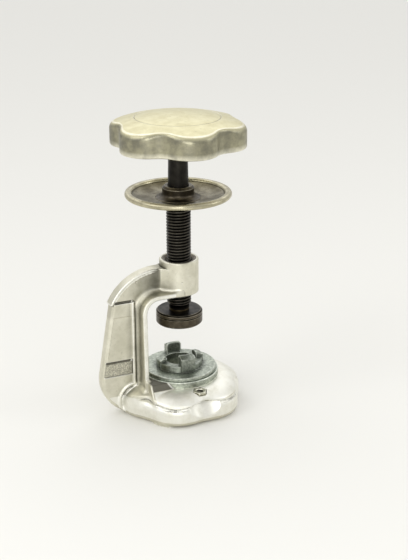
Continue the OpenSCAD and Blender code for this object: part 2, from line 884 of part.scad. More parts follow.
// Fluted cup: round-bottomed flutes that fit the edge of a screwed watch case back.
module case_key() {
    color("#8d8a80")
        difference() {
            translate([0, 0, key_low_z])
                cylinder(r = key_r, h = key_depth + key_floor);
            translate([0, 0, key_low_z - cut])
                cylinder(r = key_crest_r, h = key_depth + cut);
            for (i = [0 : key_flutes - 1])
                rotate([0, 0, i * 360 / key_flutes])
                    translate([key_crest_r, 0, key_low_z - cut])
                        cylinder(r = flute_r, h = key_depth + cut);
            translate([0, 0, key_floor_z - cut])
                cylinder(r = key_screw_r + 0.1, h = key_floor + 2 * cut);
            translate([0, 0, key_floor_z])
                cylinder(r1 = 2 * key_screw_r + seat_fit, r2 = key_screw_r, h = key_floor);
        }
}

module key_screw() {
    color("#55534c")
        difference() {
            union() {
                translate([0, 0, key_floor_z])
                    cylinder(r1 = 2 * key_screw_r, r2 = key_screw_r, h = key_floor);
                translate([0, 0, key_floor_z + key_floor])
                    cylinder(r = key_screw_r, h = 7);
            }
            translate([0, 0, key_floor_z - cut])
                cylinder(r = key_screw_r * 0.7, h = key_floor * 0.7 + cut, $fn = 6);
        }
}

module drive_pin() {
    color("#6a675e")
        translate([0, 1 + key_screw_r, drive_pin_z])
            rotate([-90, 0, 0])
                cylinder(r = drive_pin_r, h = holder_r - 1.6 - key_screw_r);
}

// Round blank of the knob: flat underside, chamfered lower edge and rolled upper edge.
module knob_blank() {
    roll_z = dome_z + sqrt(pow(knob_dome_r, 2) - pow(roll_mid_r, 2)) - knob_roll_r;
    rotate_extrude() {
        polygon([[0, knob_low_z], [knob_lobe_r - knob_chamfer, knob_low_z],
                 [knob_lobe_r, knob_low_z + knob_chamfer], [knob_lobe_r, roll_z], [0, roll_z]]);
        translate([0, knob_low_z])
            square([roll_mid_r, knob_h]);
        translate([roll_mid_r, roll_z])
            circle(r = knob_roll_r);
    }
}

// The large sphere that domes the knob and the disc let into it.
module knob_dome() {
    translate([0, 0, dome_z])
        sphere(r = knob_dome_r, $fn = 360);
}

module hand_knob() {
    color("#c6bd9f")
        difference() {
            intersection() {
                translate([0, 0, knob_low_z - cut])
                    rotate([0, 0, 180 / knob_lobes - 6])
                        linear_extrude(knob_h + 2 * cut)
                            lobed_outline(knob_lobe_r, knob_notch_r, knob_notch_round, knob_lobes);
                knob_blank();
                knob_dome();
            }
            translate([0, 0, knob_low_z - cut])
                cylinder(r = spigot_r + seat_fit, h = knob_h);
            translate([0, 0, pocket_z])
                cylinder(r = pocket_r, h = knob_h);
            translate([0, 0, cap_low_z])
                cylinder(r = cap_r + seat_fit, h = knob_h);
            translate([0, -knob_key_w / 2 - seat_fit, knob_low_z - cut])
                cube([spigot_r + knob_key_w / 2 + seat_fit, knob_key_w + 2 * seat_fit,
                      knob_key_h + 2 + cut + seat_fit]);
        }
}

module knob_key() {
    color("#5c5a52")
        translate([spigot_r - knob_key_w / 2, -knob_key_w / 2, knob_low_z + 2])
            cube([knob_key_w, knob_key_w, knob_key_h]);
}

module knob_washer() {
    color("#8b8a80")
        translate([0, 0, pocket_z])
            tube(pocket_r - 0.8, spigot_r + seat_fit, knob_washer_t);
}

module knob_nut() {
    color("#7f7e75")
        translate([0, 0, pocket_z + knob_washer_t])
            difference() {
                cylinder(r = knob_nut_flats / sqrt(3), h = knob_nut_h, $fn = 6);
                translate([0, 0, -cut])
                    cylinder(r = spigot_r + seat_fit, h = knob_nut_h + 2 * cut);
            }
}

module knob_cap() {
    color("#cfc7aa")
        intersection() {
            translate([0, 0, cap_low_z])
                cylinder(r = cap_r, h = knob_h);
            knob_dome();
        }
}

frame_casting();
threaded_bush();
die_seat();
seat_screws();
locating_pin();
bench_nut();
case_die();
lower_thrust_washer();
upper_thrust_washer();
clamp_screw();
wheel_hub();
wheel_dish();
wheel_grub_screws();
drive_spindle();
key_holder();
case_key();
key_screw();
drive_pin();
hand_knob();
knob_key();
knob_washer();
knob_nut();
knob_cap();
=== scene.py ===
"""Looks of a bench-top watch case opener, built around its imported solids.

Lengths are in millimetres inside the classes and become metres when a mesh is made.
"""
import logging
import math
from dataclasses import dataclass
from enum import Enum
from typing import Callable, Iterable, Sequence

import bpy
import numpy as np
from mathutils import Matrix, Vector


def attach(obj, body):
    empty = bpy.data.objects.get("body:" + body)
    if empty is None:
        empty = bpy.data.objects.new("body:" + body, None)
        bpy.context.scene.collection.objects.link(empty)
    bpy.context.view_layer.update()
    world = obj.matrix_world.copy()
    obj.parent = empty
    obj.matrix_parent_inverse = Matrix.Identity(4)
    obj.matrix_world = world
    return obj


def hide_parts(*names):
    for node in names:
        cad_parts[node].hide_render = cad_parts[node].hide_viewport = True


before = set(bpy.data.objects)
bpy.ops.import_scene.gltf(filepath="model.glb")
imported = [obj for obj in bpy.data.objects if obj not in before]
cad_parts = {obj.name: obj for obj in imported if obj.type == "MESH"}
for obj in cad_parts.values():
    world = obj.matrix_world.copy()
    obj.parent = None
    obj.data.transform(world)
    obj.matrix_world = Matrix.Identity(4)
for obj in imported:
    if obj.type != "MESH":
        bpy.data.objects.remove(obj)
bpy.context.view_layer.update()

MM = 0.001
LOG = logging.getLogger("watch_case_opener")

# How far the foot is turned, in degrees, and the sizes in millimetres that several pieces share
LOBE_TURN = 3.0
FOOT_TOP = 21.0
SEAT_R = 25.8
SEAT_TOP = 25.3
NUT_AT = (1.591, -30.358)
NUT_LOW = 16.72
NUT_FLATS = 8.0
BUSH_R = 11.3
SPINDLE_R = 4.5
SCREW_ROOT_R = 6.7
THREAD_TOP = 140.3
COUNTERBORE_Z = 150.7
HOLDER_TOP = 68.0
KNOB_LOW = 178.4
RUNNING_FIT = 0.05

Field = Callable[[np.ndarray, np.ndarray, np.ndarray], np.ndarray]
Measure = Callable[[np.ndarray, np.ndarray], np.ndarray]
Point2 = tuple[float, float]
Point3 = tuple[float, float, float]


class Body(Enum):
    """Bodies of the frame that pieces ride on."""

    FRAME = "frame"
    DIE = "die"
    THRUST = "thrust"
    CLAMP = "clamp"
    DRIVER = "driver"


class Slot(Enum):
    """Material slots of the record."""

    CASTING = "cast_aluminium"
    KNOB = "polished_aluminium"
    BLACK = "black_steel"
    DARK = "dark_steel"
    GREY = "grey_steel"
    NICKEL = "nickel_plate"
    FASTENER = "fastener_steel"
    BRASS = "bearing_brass"


class Grain(Enum):
    """What the making of a surface leaves on it."""

    CAST = "cast"
    TURNED = "turned"
    PLATED = "plated"


# Colour and nodes


def linear(code: str) -> tuple[float, float, float, float]:
    """Turns an sRGB hex colour to linear light.

    Args:
        code: Colour such as "#c9c7b5".

    Returns:
        Red, green, blue and an alpha of one.
    """
    parts = [int(code[i:i + 2], 16) / 255 for i in (1, 3, 5)]
    light = [p / 12.92 if p <= 0.04045 else ((p + 0.055) / 1.055) ** 2.4 for p in parts]
    return (light[0], light[1], light[2], 1.0)


def per_mm(size: float) -> float:
    """Returns the texture scale at which one cell is the given size in millimetres."""
    return 1 / (size * MM)


def add_node(tree: bpy.types.NodeTree, kind: str, inputs: dict | None = None,
             stops: Sequence[tuple[float, str]] = (), **settings: object) -> bpy.types.Node:
    """Adds a node, sets its properties and its inputs, and links those given as sockets.

    Args:
        tree: Node tree of a material or the world.
        kind: Blender's name of the node type.
        inputs: Input name or number to a value or to the socket that feeds it.
        stops: Positions and hex colours, for a colour ramp.
        settings: Properties of the node.

    Returns:
        The new node.
    """
    node = tree.nodes.new(kind)
    for key, value in settings.items():
        setattr(node, key, value)
    if stops:
        elements = node.color_ramp.elements
        while len(elements) < len(stops):
            elements.new(0.5)
        for element, (place, code) in zip(elements, stops):
            element.position = place
            element.color = linear(code)
    for key, value in (inputs or {}).items():
        if isinstance(value, bpy.types.NodeSocket):
            tree.links.new(value, node.inputs[key])
        else:
            node.inputs[key].default_value = value
    return node


@dataclass(frozen=True)
class Metal:
    """A metal surface: its clean colours, its worn edges and painted highlights, its grime and painted shade,
    its polish and its grain.

    Sizes that end in mm are the real size of a mark in millimetres. The grain is drawn as coarse as it
    needs to show in the render: a cast skin's sand and a lathe's rings are about half as wide.

    Attributes:
        name: Name of the material.
        clean: Colour of the clean metal.
        dull: Colour of its cloudy patches.
        rub_and_highlight: Colour of worn edges and of painted highlights.
        grime_and_shade: Colour of the dirt in pits, and of the painted shade in corners and creases.
        roughness: Middle of the roughness.
        spread: How far the clouds raise or lower the roughness.
        grain: What the making left.
        grain_mm: Size of the grain.
        grain_depth: Height of the grain in millimetres.
        blotch_mm: Size of the clouds.
        grime_and_shade_share: How dark corners and creases are painted.
        rub_and_highlight_share: How bright worn edges and painted highlights get.
        speck_share: How dark the pits of the skin are.
        rough_mm: Size of the pocks in a rough patch, nothing if the piece has none.
        tarnish_and_shade: Colour where the attribute dull is set: painted shade, and the patina of the dish's
            bowl.
        tarnish_and_shade_share: How strongly that colour is laid.
    """

    name: str
    clean: str
    dull: str
    rub_and_highlight: str
    grime_and_shade: str
    roughness: float
    spread: float
    grain: Grain
    grain_mm: float
    grain_depth: float
    blotch_mm: float
    grime_and_shade_share: float = 0.8
    rub_and_highlight_share: float = 0.7
    speck_share: float = 0.0
    rough_mm: float = 0.0
    tarnish_and_shade: str = "#808080"
    tarnish_and_shade_share: float = 0.0

    def grain_height(self, tree: bpy.types.NodeTree, place: bpy.types.NodeSocket) -> bpy.types.NodeSocket:
        """Adds the pattern that the making left.

        Args:
            tree: The material's nodes.
            place: Object coordinates.

        Returns:
            Socket with the height of the grain, about 0 to 1.
        """
        if self.grain in (Grain.CAST, Grain.PLATED):
            fine = add_node(tree, "ShaderNodeTexNoise", {
                "Vector": place, "Scale": per_mm(self.grain_mm), "Detail": 3.0, "Roughness": 0.6})
            return fine.outputs[0]
        split = add_node(tree, "ShaderNodeSeparateXYZ", {"Vector": place})
        across = add_node(tree, "ShaderNodeVectorMath", {0: place, 1: (1.0, 1.0, 0.0)}, operation="MULTIPLY")
        radius = add_node(tree, "ShaderNodeVectorMath", {0: across.outputs[0]}, operation="LENGTH")
        turn = add_node(tree, "ShaderNodeMath", {0: split.outputs[1], 1: split.outputs[0]},
                        operation="ARCTAN2")
        slow = add_node(tree, "ShaderNodeMath", {0: turn.outputs[0], 1: 0.0004}, operation="MULTIPLY")
        streak = add_node(tree, "ShaderNodeCombineXYZ", {
            "X": radius.outputs["Value"], "Y": slow.outputs[0], "Z": split.outputs[2]})
        lines = add_node(tree, "ShaderNodeTexNoise", {
            "Vector": streak.outputs[0], "Scale": per_mm(self.grain_mm), "Detail": 2.0, "Roughness": 0.5})
        return lines.outputs[0]

    def specks(self, tree: bpy.types.NodeTree, place: bpy.types.NodeSocket) -> bpy.types.NodeSocket:
        """Adds the small dark pits of the skin.

        Args:
            tree: The material's nodes.
            place: Object coordinates.

        Returns:
            Socket with the share of grime.
        """
        pits = add_node(tree, "ShaderNodeTexNoise", {
            "Vector": place, "Scale": per_mm(self.grain_mm * 3), "Detail": 1.0, "Roughness": 0.4})
        return add_node(tree, "ShaderNodeMapRange", {
            0: pits.outputs[0], 1: 0.66, 2: 0.76, 3: 0.0, 4: self.speck_share}).outputs[0]

    def stipple(self, tree: bpy.types.NodeTree, place: bpy.types.NodeSocket) -> bpy.types.NodeSocket:
        """Adds the pocks of a patch that is left rough, where the attribute rough is set.

        Args:
            tree: The material's nodes.
            place: Object coordinates.

        Returns:
            Socket that is one in a pock.
        """
        patch = add_node(tree, "ShaderNodeAttribute", attribute_name="rough")
        noise = add_node(tree, "ShaderNodeTexNoise", {
            "Vector": place, "Scale": per_mm(self.rough_mm), "Detail": 2.0, "Roughness": 0.6})
        pocks = add_node(tree, "ShaderNodeMapRange", {
            0: noise.outputs[0], 1: 0.42, 2: 0.58, 3: 0.0, 4: 1.0})
        return add_node(tree, "ShaderNodeMath", {0: patch.outputs["Fac"], 1: pocks.outputs[0]},
                        operation="MULTIPLY").outputs[0]

    def tarnish_and_shade_film(self, tree: bpy.types.NodeTree, blotch: bpy.types.NodeSocket) -> bpy.types.NodeSocket:
        """Adds the cloudy darkening where the attribute dull is set: painted shade, and the patina of the
        dish's bowl.

        Args:
            tree: The material's nodes.
            blotch: Noise as coarse as the surface's clouds.

        Returns:
            Socket with the share of that darkening.
        """
        dull = add_node(tree, "ShaderNodeAttribute", attribute_name="dull")
        cloud = add_node(tree, "ShaderNodeMapRange", {0: blotch, 1: 0.35, 2: 0.65, 3: 1.0, 4: 0.7})
        share = add_node(tree, "ShaderNodeMath", {0: dull.outputs["Fac"], 1: cloud.outputs[0]},
                         operation="MULTIPLY")
        return add_node(tree, "ShaderNodeMath", {0: share.outputs[0], 1: self.tarnish_and_shade_share},
                        operation="MULTIPLY", use_clamp=True).outputs[0]

    def worn_edges_and_highlights(self, tree: bpy.types.NodeTree, blotch: bpy.types.NodeSocket) -> bpy.types.NodeSocket:
        """Adds the broken bright line where the attribute wear is set: worn edges and painted highlights.

        Args:
            tree: The material's nodes.
            blotch: Noise as coarse as the surface's clouds.

        Returns:
            Socket with the share of the bright colour.
        """
        wear_and_highlight = add_node(tree, "ShaderNodeAttribute", attribute_name="wear_and_highlight")
        rub = add_node(tree, "ShaderNodeMapRange", {
            0: wear_and_highlight.outputs["Fac"], 1: 0.12, 2: 0.6, 3: 0.0, 4: self.rub_and_highlight_share})
        broken = add_node(tree, "ShaderNodeMath", {0: rub.outputs[0], 1: blotch}, operation="MULTIPLY")
        return add_node(tree, "ShaderNodeMath", {0: broken.outputs[0], 1: 1.8}, operation="MULTIPLY",
                        use_clamp=True).outputs[0]

    def make(self) -> bpy.types.Material:
        """Builds the material: the metal's clouds, then pits and dirt, painted shade, and worn edges with
        painted highlights over them.

        Returns:
            The finished material.
        """
        material = bpy.data.materials.new(self.name)
        material.use_nodes = True
        tree = material.node_tree
        tree.nodes.clear()
        place = add_node(tree, "ShaderNodeTexCoord").outputs["Object"]
        height = self.grain_height(tree, place)
        blotch = add_node(tree, "ShaderNodeTexNoise", {
            "Vector": place, "Scale": per_mm(self.blotch_mm), "Detail": 4.0, "Roughness": 0.62}).outputs[0]
        layers = []
        if self.speck_share:
            layers.append((self.specks(tree, place), self.grime_and_shade))
        if self.rough_mm:
            pocks = self.stipple(tree, place)
            tint = add_node(tree, "ShaderNodeMath", {0: pocks, 1: 0.5}, operation="MULTIPLY")
            layers.append((tint.outputs[0], self.grime_and_shade))
            deep = add_node(tree, "ShaderNodeMath", {0: pocks, 1: 4.0}, operation="MULTIPLY")
            height = add_node(tree, "ShaderNodeMath", {0: height, 1: deep.outputs[0]},
                              operation="SUBTRACT").outputs[0]
        # Painted shade where the attribute dull is set, in hollows and on faces turned from the light; on the
        # dish it is the bowl's patina.
        if self.tarnish_and_shade_share:
            layers.append((self.tarnish_and_shade_film(tree, blotch), self.tarnish_and_shade))
        # Painted shade in creases and corners, mixed with dirt: they are darkened towards the grime colour.
        crease_dirt_and_shade = add_node(tree, "ShaderNodeAttribute", attribute_name="crease_dirt_and_shade")
        dirt = add_node(tree, "ShaderNodeMapRange", {
            0: crease_dirt_and_shade.outputs["Fac"], 1: 0.04, 2: 0.75, 3: 0.0, 4: self.grime_and_shade_share})
        layers += [(dirt.outputs[0], self.grime_and_shade), (self.worn_edges_and_highlights(tree, blotch), self.rub_and_highlight)]
        colour = add_node(tree, "ShaderNodeValToRGB", {"Fac": blotch},
                          stops=((0.36, self.dull), (0.62, self.clean))).outputs[0]
        for share, code in layers:
            colour = add_node(tree, "ShaderNodeMix", {0: share, 6: colour, 7: linear(code)},
                              data_type="RGBA").outputs[2]
        polish = add_node(tree, "ShaderNodeMapRange", {
            0: blotch, 1: 0.3, 2: 0.7, 3: self.roughness + self.spread, 4: self.roughness - self.spread})
        relief = add_node(tree, "ShaderNodeBump", {
            "Height": height, "Strength": 1.0, "Distance": self.grain_depth * MM})
        shader = add_node(tree, "ShaderNodeBsdfPrincipled", {
            "Base Color": colour, "Metallic": 1.0, "Roughness": polish.outputs[0],
            "Normal": relief.outputs[0]})
        add_node(tree, "ShaderNodeOutputMaterial", {"Surface": shader.outputs[0]})
        return material


# Tumbled cast aluminium: soft satin skin with a fine sandy grain, white on worn edges and painted highlights,
# painted shade grey in corners and hollows.
TUMBLED_CAST_ALUMINIUM = Metal(
    name="tumbled_cast_aluminium", clean="#dedbcb", dull="#cfccba", rub_and_highlight="#f4f3ea", grime_and_shade="#55534a",
    roughness=0.46, spread=0.05, grain=Grain.CAST, grain_mm=0.5, grain_depth=0.03, blotch_mm=9.0,
    grime_and_shade_share=0.85, rub_and_highlight_share=0.95, speck_share=0.12, rough_mm=0.7, tarnish_and_shade="#6f6d5f", tarnish_and_shade_share=1.0)
# Hand-polished cast aluminium with a yellow cast: cloudy shine, a painted highlight along the rolled edge,
# painted shade on the walls.
HANDLED_POLISHED_ALUMINIUM = Metal(
    name="handled_polished_aluminium", clean="#ddd7b2", dull="#d2cba6", rub_and_highlight="#f6f2df", grime_and_shade="#7c765f",
    roughness=0.38, spread=0.06, grain=Grain.CAST, grain_mm=0.7, grain_depth=0.02, blotch_mm=7.0,
    grime_and_shade_share=0.7, rub_and_highlight_share=0.9, speck_share=0.15, tarnish_and_shade="#7c7a6c", tarnish_and_shade_share=0.95)
# Turned steel, blackened in hot oxide and oiled: near black, with grey crests that are worn and carry a
# painted highlight.
BLACK_OXIDE_STEEL = Metal(
    name="black_oxide_steel", clean="#2f2d29", dull="#22201e", rub_and_highlight="#7d786c", grime_and_shade="#0a0908",
    roughness=0.38, spread=0.06, grain=Grain.TURNED, grain_mm=0.35, grain_depth=0.008, blotch_mm=5.0,
    grime_and_shade_share=0.9, rub_and_highlight_share=0.55)
# Turned steel with a brown oil patina: dark, a little warm, with fine turning rings, and painted shade on the
# key holder's upward faces.
BROWNED_TURNED_STEEL = Metal(
    name="browned_turned_steel", clean="#575044", dull="#423c32", rub_and_highlight="#958e7d", grime_and_shade="#191611",
    roughness=0.36, spread=0.07, grain=Grain.TURNED, grain_mm=0.4, grain_depth=0.01, blotch_mm=4.0,
    grime_and_shade_share=0.85, rub_and_highlight_share=0.6, tarnish_and_shade="#100e0c", tarnish_and_shade_share=1.0)
# Surface-ground die steel gone dull: cool grey with a green cast, pale worn edges with painted highlights,
# and painted shade in the die's hollows and on its jaws.
DULL_GROUND_STEEL = Metal(
    name="dull_ground_steel", clean="#b7bdb0", dull="#8d9389", rub_and_highlight="#eaeee4", grime_and_shade="#343733",
    roughness=0.38, spread=0.08, grain=Grain.PLATED, grain_mm=0.5, grain_depth=0.02, blotch_mm=1.8,
    grime_and_shade_share=0.85, rub_and_highlight_share=0.85, speck_share=0.3, tarnish_and_shade="#4a4d49", tarnish_and_shade_share=0.9)
# Nickel plate tarnished to a brown olive in the bowl, still bright on the bead.
TARNISHED_NICKEL_PLATE = Metal(
    name="tarnished_nickel_plate", clean="#b3ac92", dull="#938c73", rub_and_highlight="#e9e3c6", grime_and_shade="#3d382b",
    roughness=0.30, spread=0.08, grain=Grain.TURNED, grain_mm=0.5, grain_depth=0.006, blotch_mm=8.0,
    grime_and_shade_share=0.85, rub_and_highlight_share=0.95, tarnish_and_shade="#4a4124", tarnish_and_shade_share=1.0)
# Zinc-plated fastener steel: pale warm grey, slightly mottled.
ZINC_PLATED_STEEL = Metal(
    name="zinc_plated_steel", clean="#cfccb9", dull="#a9a691", rub_and_highlight="#f0eee0", grime_and_shade="#4c4a3e",
    roughness=0.33, spread=0.08, grain=Grain.PLATED, grain_mm=0.4, grain_depth=0.008, blotch_mm=2.0)
# Plain turned bearing brass, blackened by old oil: brown-black, with a little brass where it rubs.
OILED_BEARING_BRASS = Metal(
    name="oiled_bearing_brass", clean="#4b4232", dull="#352f25", rub_and_highlight="#77694c", grime_and_shade="#17130d",
    roughness=0.32, spread=0.06, grain=Grain.TURNED, grain_mm=0.4, grain_depth=0.008, blotch_mm=2.0)

FINISHES = {
    Slot.CASTING: TUMBLED_CAST_ALUMINIUM,
    Slot.KNOB: HANDLED_POLISHED_ALUMINIUM,
    Slot.BLACK: BLACK_OXIDE_STEEL,
    Slot.DARK: BROWNED_TURNED_STEEL,
    Slot.GREY: DULL_GROUND_STEEL,
    Slot.NICKEL: TARNISHED_NICKEL_PLATE,
    Slot.FASTENER: ZINC_PLATED_STEEL,
    Slot.BRASS: OILED_BEARING_BRASS,
}


class Finisher:
    """Makes each finish once and puts it on pieces."""

    def __init__(self) -> None:
        """Starts with no finish made."""
        self.made: dict[Slot, bpy.types.Material] = {}

    def material(self, slot: Slot) -> bpy.types.Material:
        """Makes the material of a slot on first use.

        Args:
            slot: Material slot of the record.

        Returns:
            The slot's material.
        """
        if slot not in self.made:
            self.made[slot] = FINISHES[slot].make()
        return self.made[slot]

    def dress(self, piece: bpy.types.Object, slot: Slot) -> None:
        """Puts a slot's finish on a piece in place of what it had."""
        piece.data.materials.clear()
        piece.data.materials.append(self.material(slot))

    def place(self, piece: bpy.types.Object, slot: Slot, body: Body, *nodes: str) -> None:
        """Dresses a new piece, lets it ride and takes CAD nodes out of view.

        Args:
            piece: The new mesh.
            slot: Its material slot.
            body: The body that it moves with.
            nodes: The CAD nodes that it stands for.
        """
        self.dress(piece, slot)
        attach(piece, body.value)
        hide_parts(*nodes)
        LOG.info("%s: %d faces, on %s", piece.name, len(piece.data.polygons), body.value)

    def dress_node(self, node: str, slot: Slot) -> None:
        """Puts a finish on a CAD node that stays in view."""
        self.dress(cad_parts[node], slot)
        LOG.info("%s: solid as packed, %s", node, slot.value)


# Meshes


def add_object(name: str, data: bpy.types.ID) -> bpy.types.Object:
    """Adds an object to the scene.

    Args:
        name: Name of the object.
        data: The mesh, lamp or camera that it shows.

    Returns:
        The new object.
    """
    item = bpy.data.objects.new(name, data)
    bpy.context.scene.collection.objects.link(item)
    return item


def points_of(mesh: bpy.types.Mesh) -> tuple[np.ndarray, np.ndarray]:
    """Reads a mesh's points.

    Args:
        mesh: Any mesh.

    Returns:
        Its points in metres and their normals, a row each.
    """
    rows = []
    for key in ("co", "normal"):
        flat = np.empty(len(mesh.vertices) * 3)
        mesh.vertices.foreach_get(key, flat)
        rows.append(flat.reshape(-1, 3))
    return rows[0], rows[1]


def mark_edges(mesh: bpy.types.Mesh, round_mm: float = 0.5) -> None:
    """Stores how sharply each point bulges or dents, as the attributes wear and crease: bulges for worn edges
    and painted highlights, dents for dirt and painted shade.

    Args:
        mesh: Mesh with its points in metres.
        round_mm: Edge radius in millimetres that counts as fully sharp.
    """
    co, no = points_of(mesh)
    ends = np.empty(len(mesh.edges) * 2, dtype=np.int32)
    mesh.edges.foreach_get("vertices", ends)
    ends = ends.reshape(-1, 2)
    bulge, dent = np.zeros(len(co)), np.zeros(len(co))
    for a, b in ((ends[:, 0], ends[:, 1]), (ends[:, 1], ends[:, 0])):
        step = co[b] - co[a]
        bend = -2 * (no[a] * step).sum(1) / np.maximum((step ** 2).sum(1), 1e-12)
        np.maximum.at(bulge, a, bend)
        np.maximum.at(dent, a, -bend)
    for name, values in (("wear_and_highlight", bulge), ("crease_dirt_and_shade", dent)):
        layer = mesh.attributes.new(name, "FLOAT", "POINT")
        layer.data.foreach_set("value", np.clip(values * round_mm * MM, 0, 1).astype(np.float32))


def mark(piece: bpy.types.Object, name: str, measure: Measure) -> None:
    """Raises an attribute of a piece to a value of 0 to 1 at each point.

    Args:
        piece: The piece to mark.
        name: Name of the attribute, which is made if the piece lacks it.
        measure: Works the values out from the points in millimetres and their normals.
    """
    mesh = piece.data
    co, no = points_of(mesh)
    held = np.zeros(len(co), np.float32)
    if name in mesh.attributes:
        mesh.attributes[name].data.foreach_get("value", held)
    else:
        mesh.attributes.new(name, "FLOAT", "POINT")
    values = np.clip(measure(co / MM, no), 0, 1)
    mesh.attributes[name].data.foreach_set("value", np.maximum(held, values).astype(np.float32))


def new_piece(name: str, points: np.ndarray, faces: Iterable[Sequence[int]],
              round_mm: float = 0.5) -> bpy.types.Object:
    """Makes a smooth-shaded object from points in millimetres.

    Args:
        name: Name of the piece.
        points: Points in millimetres.
        faces: Point numbers of each face.
        round_mm: Edge radius that counts as fully sharp for the wear marks.

    Returns:
        The new object, linked to the scene.
    """
    mesh = bpy.data.meshes.new(name)
    mesh.from_pydata((np.asarray(points) * MM).tolist(), [], [tuple(f) for f in faces])
    mesh.validate()
    mesh.shade_smooth()
    mesh.update()
    mark_edges(mesh, round_mm)
    return add_object(name, mesh)


def soften(corners: Sequence[tuple[float, float, float]], closed: bool = True, steps: int = 5,
           guard: float = 0.25) -> list[Point2]:
    """Rounds the corners of a profile.

    Args:
        corners: Radius, height and rounding of each corner.
        closed: Whether the profile runs back to its start.
        steps: Number of spans in a rounding of a right angle.
        guard: Distance of a point kept on each side of a rounding, so that shading stays on it.

    Returns:
        The points of the softened profile.
    """
    path: list[Point2] = []
    count = len(corners)
    for i, (x, z, rounding) in enumerate(corners):
        if rounding <= 0 or (not closed and i in (0, count - 1)):
            path.append((x, z))
            continue
        here = np.array((x, z))
        back = np.array(corners[i - 1][:2]) - here
        ahead = np.array(corners[(i + 1) % count][:2]) - here
        room = [np.hypot(*back), np.hypot(*ahead)]
        back, ahead = back / room[0], ahead / room[1]
        half = math.acos(max(-1.0, min(1.0, float(back @ ahead)))) / 2
        if half > math.radians(89):
            path.append((x, z))
            continue
        reach = min(rounding / math.tan(half), 0.49 * room[0], 0.49 * room[1])
        radius = reach * math.tan(half)
        middle = here + (back + ahead) / np.hypot(*(back + ahead)) * radius / math.sin(half)
        start, end = here + back * reach - middle, here + ahead * reach - middle
        turn = math.atan2(start[0] * end[1] - start[1] * end[0], float(start @ end))
        spans = max(2, round(steps * abs(turn) / (math.pi / 2)))
        if room[0] - reach > 2.2 * guard:
            path.append(tuple(here + back * (reach + guard)))
        for k in range(spans + 1):
            c, s = math.cos(turn * k / spans), math.sin(turn * k / spans)
            path.append(tuple(middle + (c * start[0] - s * start[1], s * start[0] + c * start[1])))
        if room[1] - reach > 2.2 * guard:
            path.append(tuple(here + ahead * (reach + guard)))
    return [(float(a), float(b)) for a, b in path]


def circle(radius: np.ndarray | float, height: float, segments: int) -> np.ndarray:
    """Returns a ring of points round the spindle's axis, of one radius or of one for each point."""
    angle = 2 * np.pi * np.arange(segments) / segments
    return np.column_stack((radius * np.cos(angle), radius * np.sin(angle), np.full(segments, height)))


def loft(name: str, rings: Sequence[np.ndarray], closed: bool = True,
         round_mm: float = 0.5) -> bpy.types.Object:
    """Skins rings of points that all have the same count.

    Args:
        name: Name of the piece.
        rings: Points of each ring, counter-clockwise from above; a ring shrunk to a point is merged.
        closed: Whether the last ring runs back to the first.
        round_mm: Edge radius that counts as fully sharp for the wear marks.

    Returns:
        The skinned piece.
    """
    points: list[np.ndarray] = []
    numbers: list[np.ndarray] = []
    start = 0
    for ring in rings:
        count = 1 if np.ptp(ring, axis=0).max() < 1e-6 else len(ring)
        points.append(ring[:count])
        numbers.append(start + (np.arange(len(ring)) if count > 1 else np.zeros(len(ring), dtype=int)))
        start += count
    faces = []
    for i in range(len(rings) if closed else len(rings) - 1):
        low, high = numbers[i], numbers[(i + 1) % len(rings)]
        for face in np.stack((low, np.roll(low, -1), np.roll(high, -1), high), axis=1).tolist():
            corners = [v for j, v in enumerate(face) if v != face[j - 1]]
            if len(corners) > 2:
                faces.append(corners)
    return new_piece(name, np.concatenate(points), faces, round_mm)


def lathe(name: str, profile: Sequence[Point2], segments: int = 128, closed: bool = True,
          round_mm: float = 0.5) -> bpy.types.Object:
    """Turns a profile about the spindle's axis.

    Args:
        name: Name of the piece.
        profile: Radius and height along the profile, inside on its left as it runs.
        segments: Number of steps round the axis.
        closed: Whether the profile runs back to its start; otherwise it starts and ends on the axis.
        round_mm: Edge radius that counts as fully sharp for the wear marks.

    Returns:
        The turned piece.
    """
    return loft(name, [circle(radius, height, segments) for radius, height in profile], closed, round_mm)


# Distance fields


def round_join(a: np.ndarray, b: np.ndarray, radius: float) -> np.ndarray:
    """Joins two fields with a fillet of the given radius."""
    inner = np.hypot(np.maximum(radius - a, 0), np.maximum(radius - b, 0))
    return np.maximum(radius, np.minimum(a, b)) - inner


def round_cut(a: np.ndarray, b: np.ndarray, radius: float) -> np.ndarray:
    """Keeps what two fields share, with its new edge rounded."""
    outer = np.hypot(np.maximum(radius + a, 0), np.maximum(radius + b, 0))
    return np.minimum(-radius, np.maximum(a, b)) + outer


def band(z: np.ndarray, low: float, high: float) -> np.ndarray:
    """Returns the field of the slab between two heights."""
    return np.maximum(low - z, z - high)


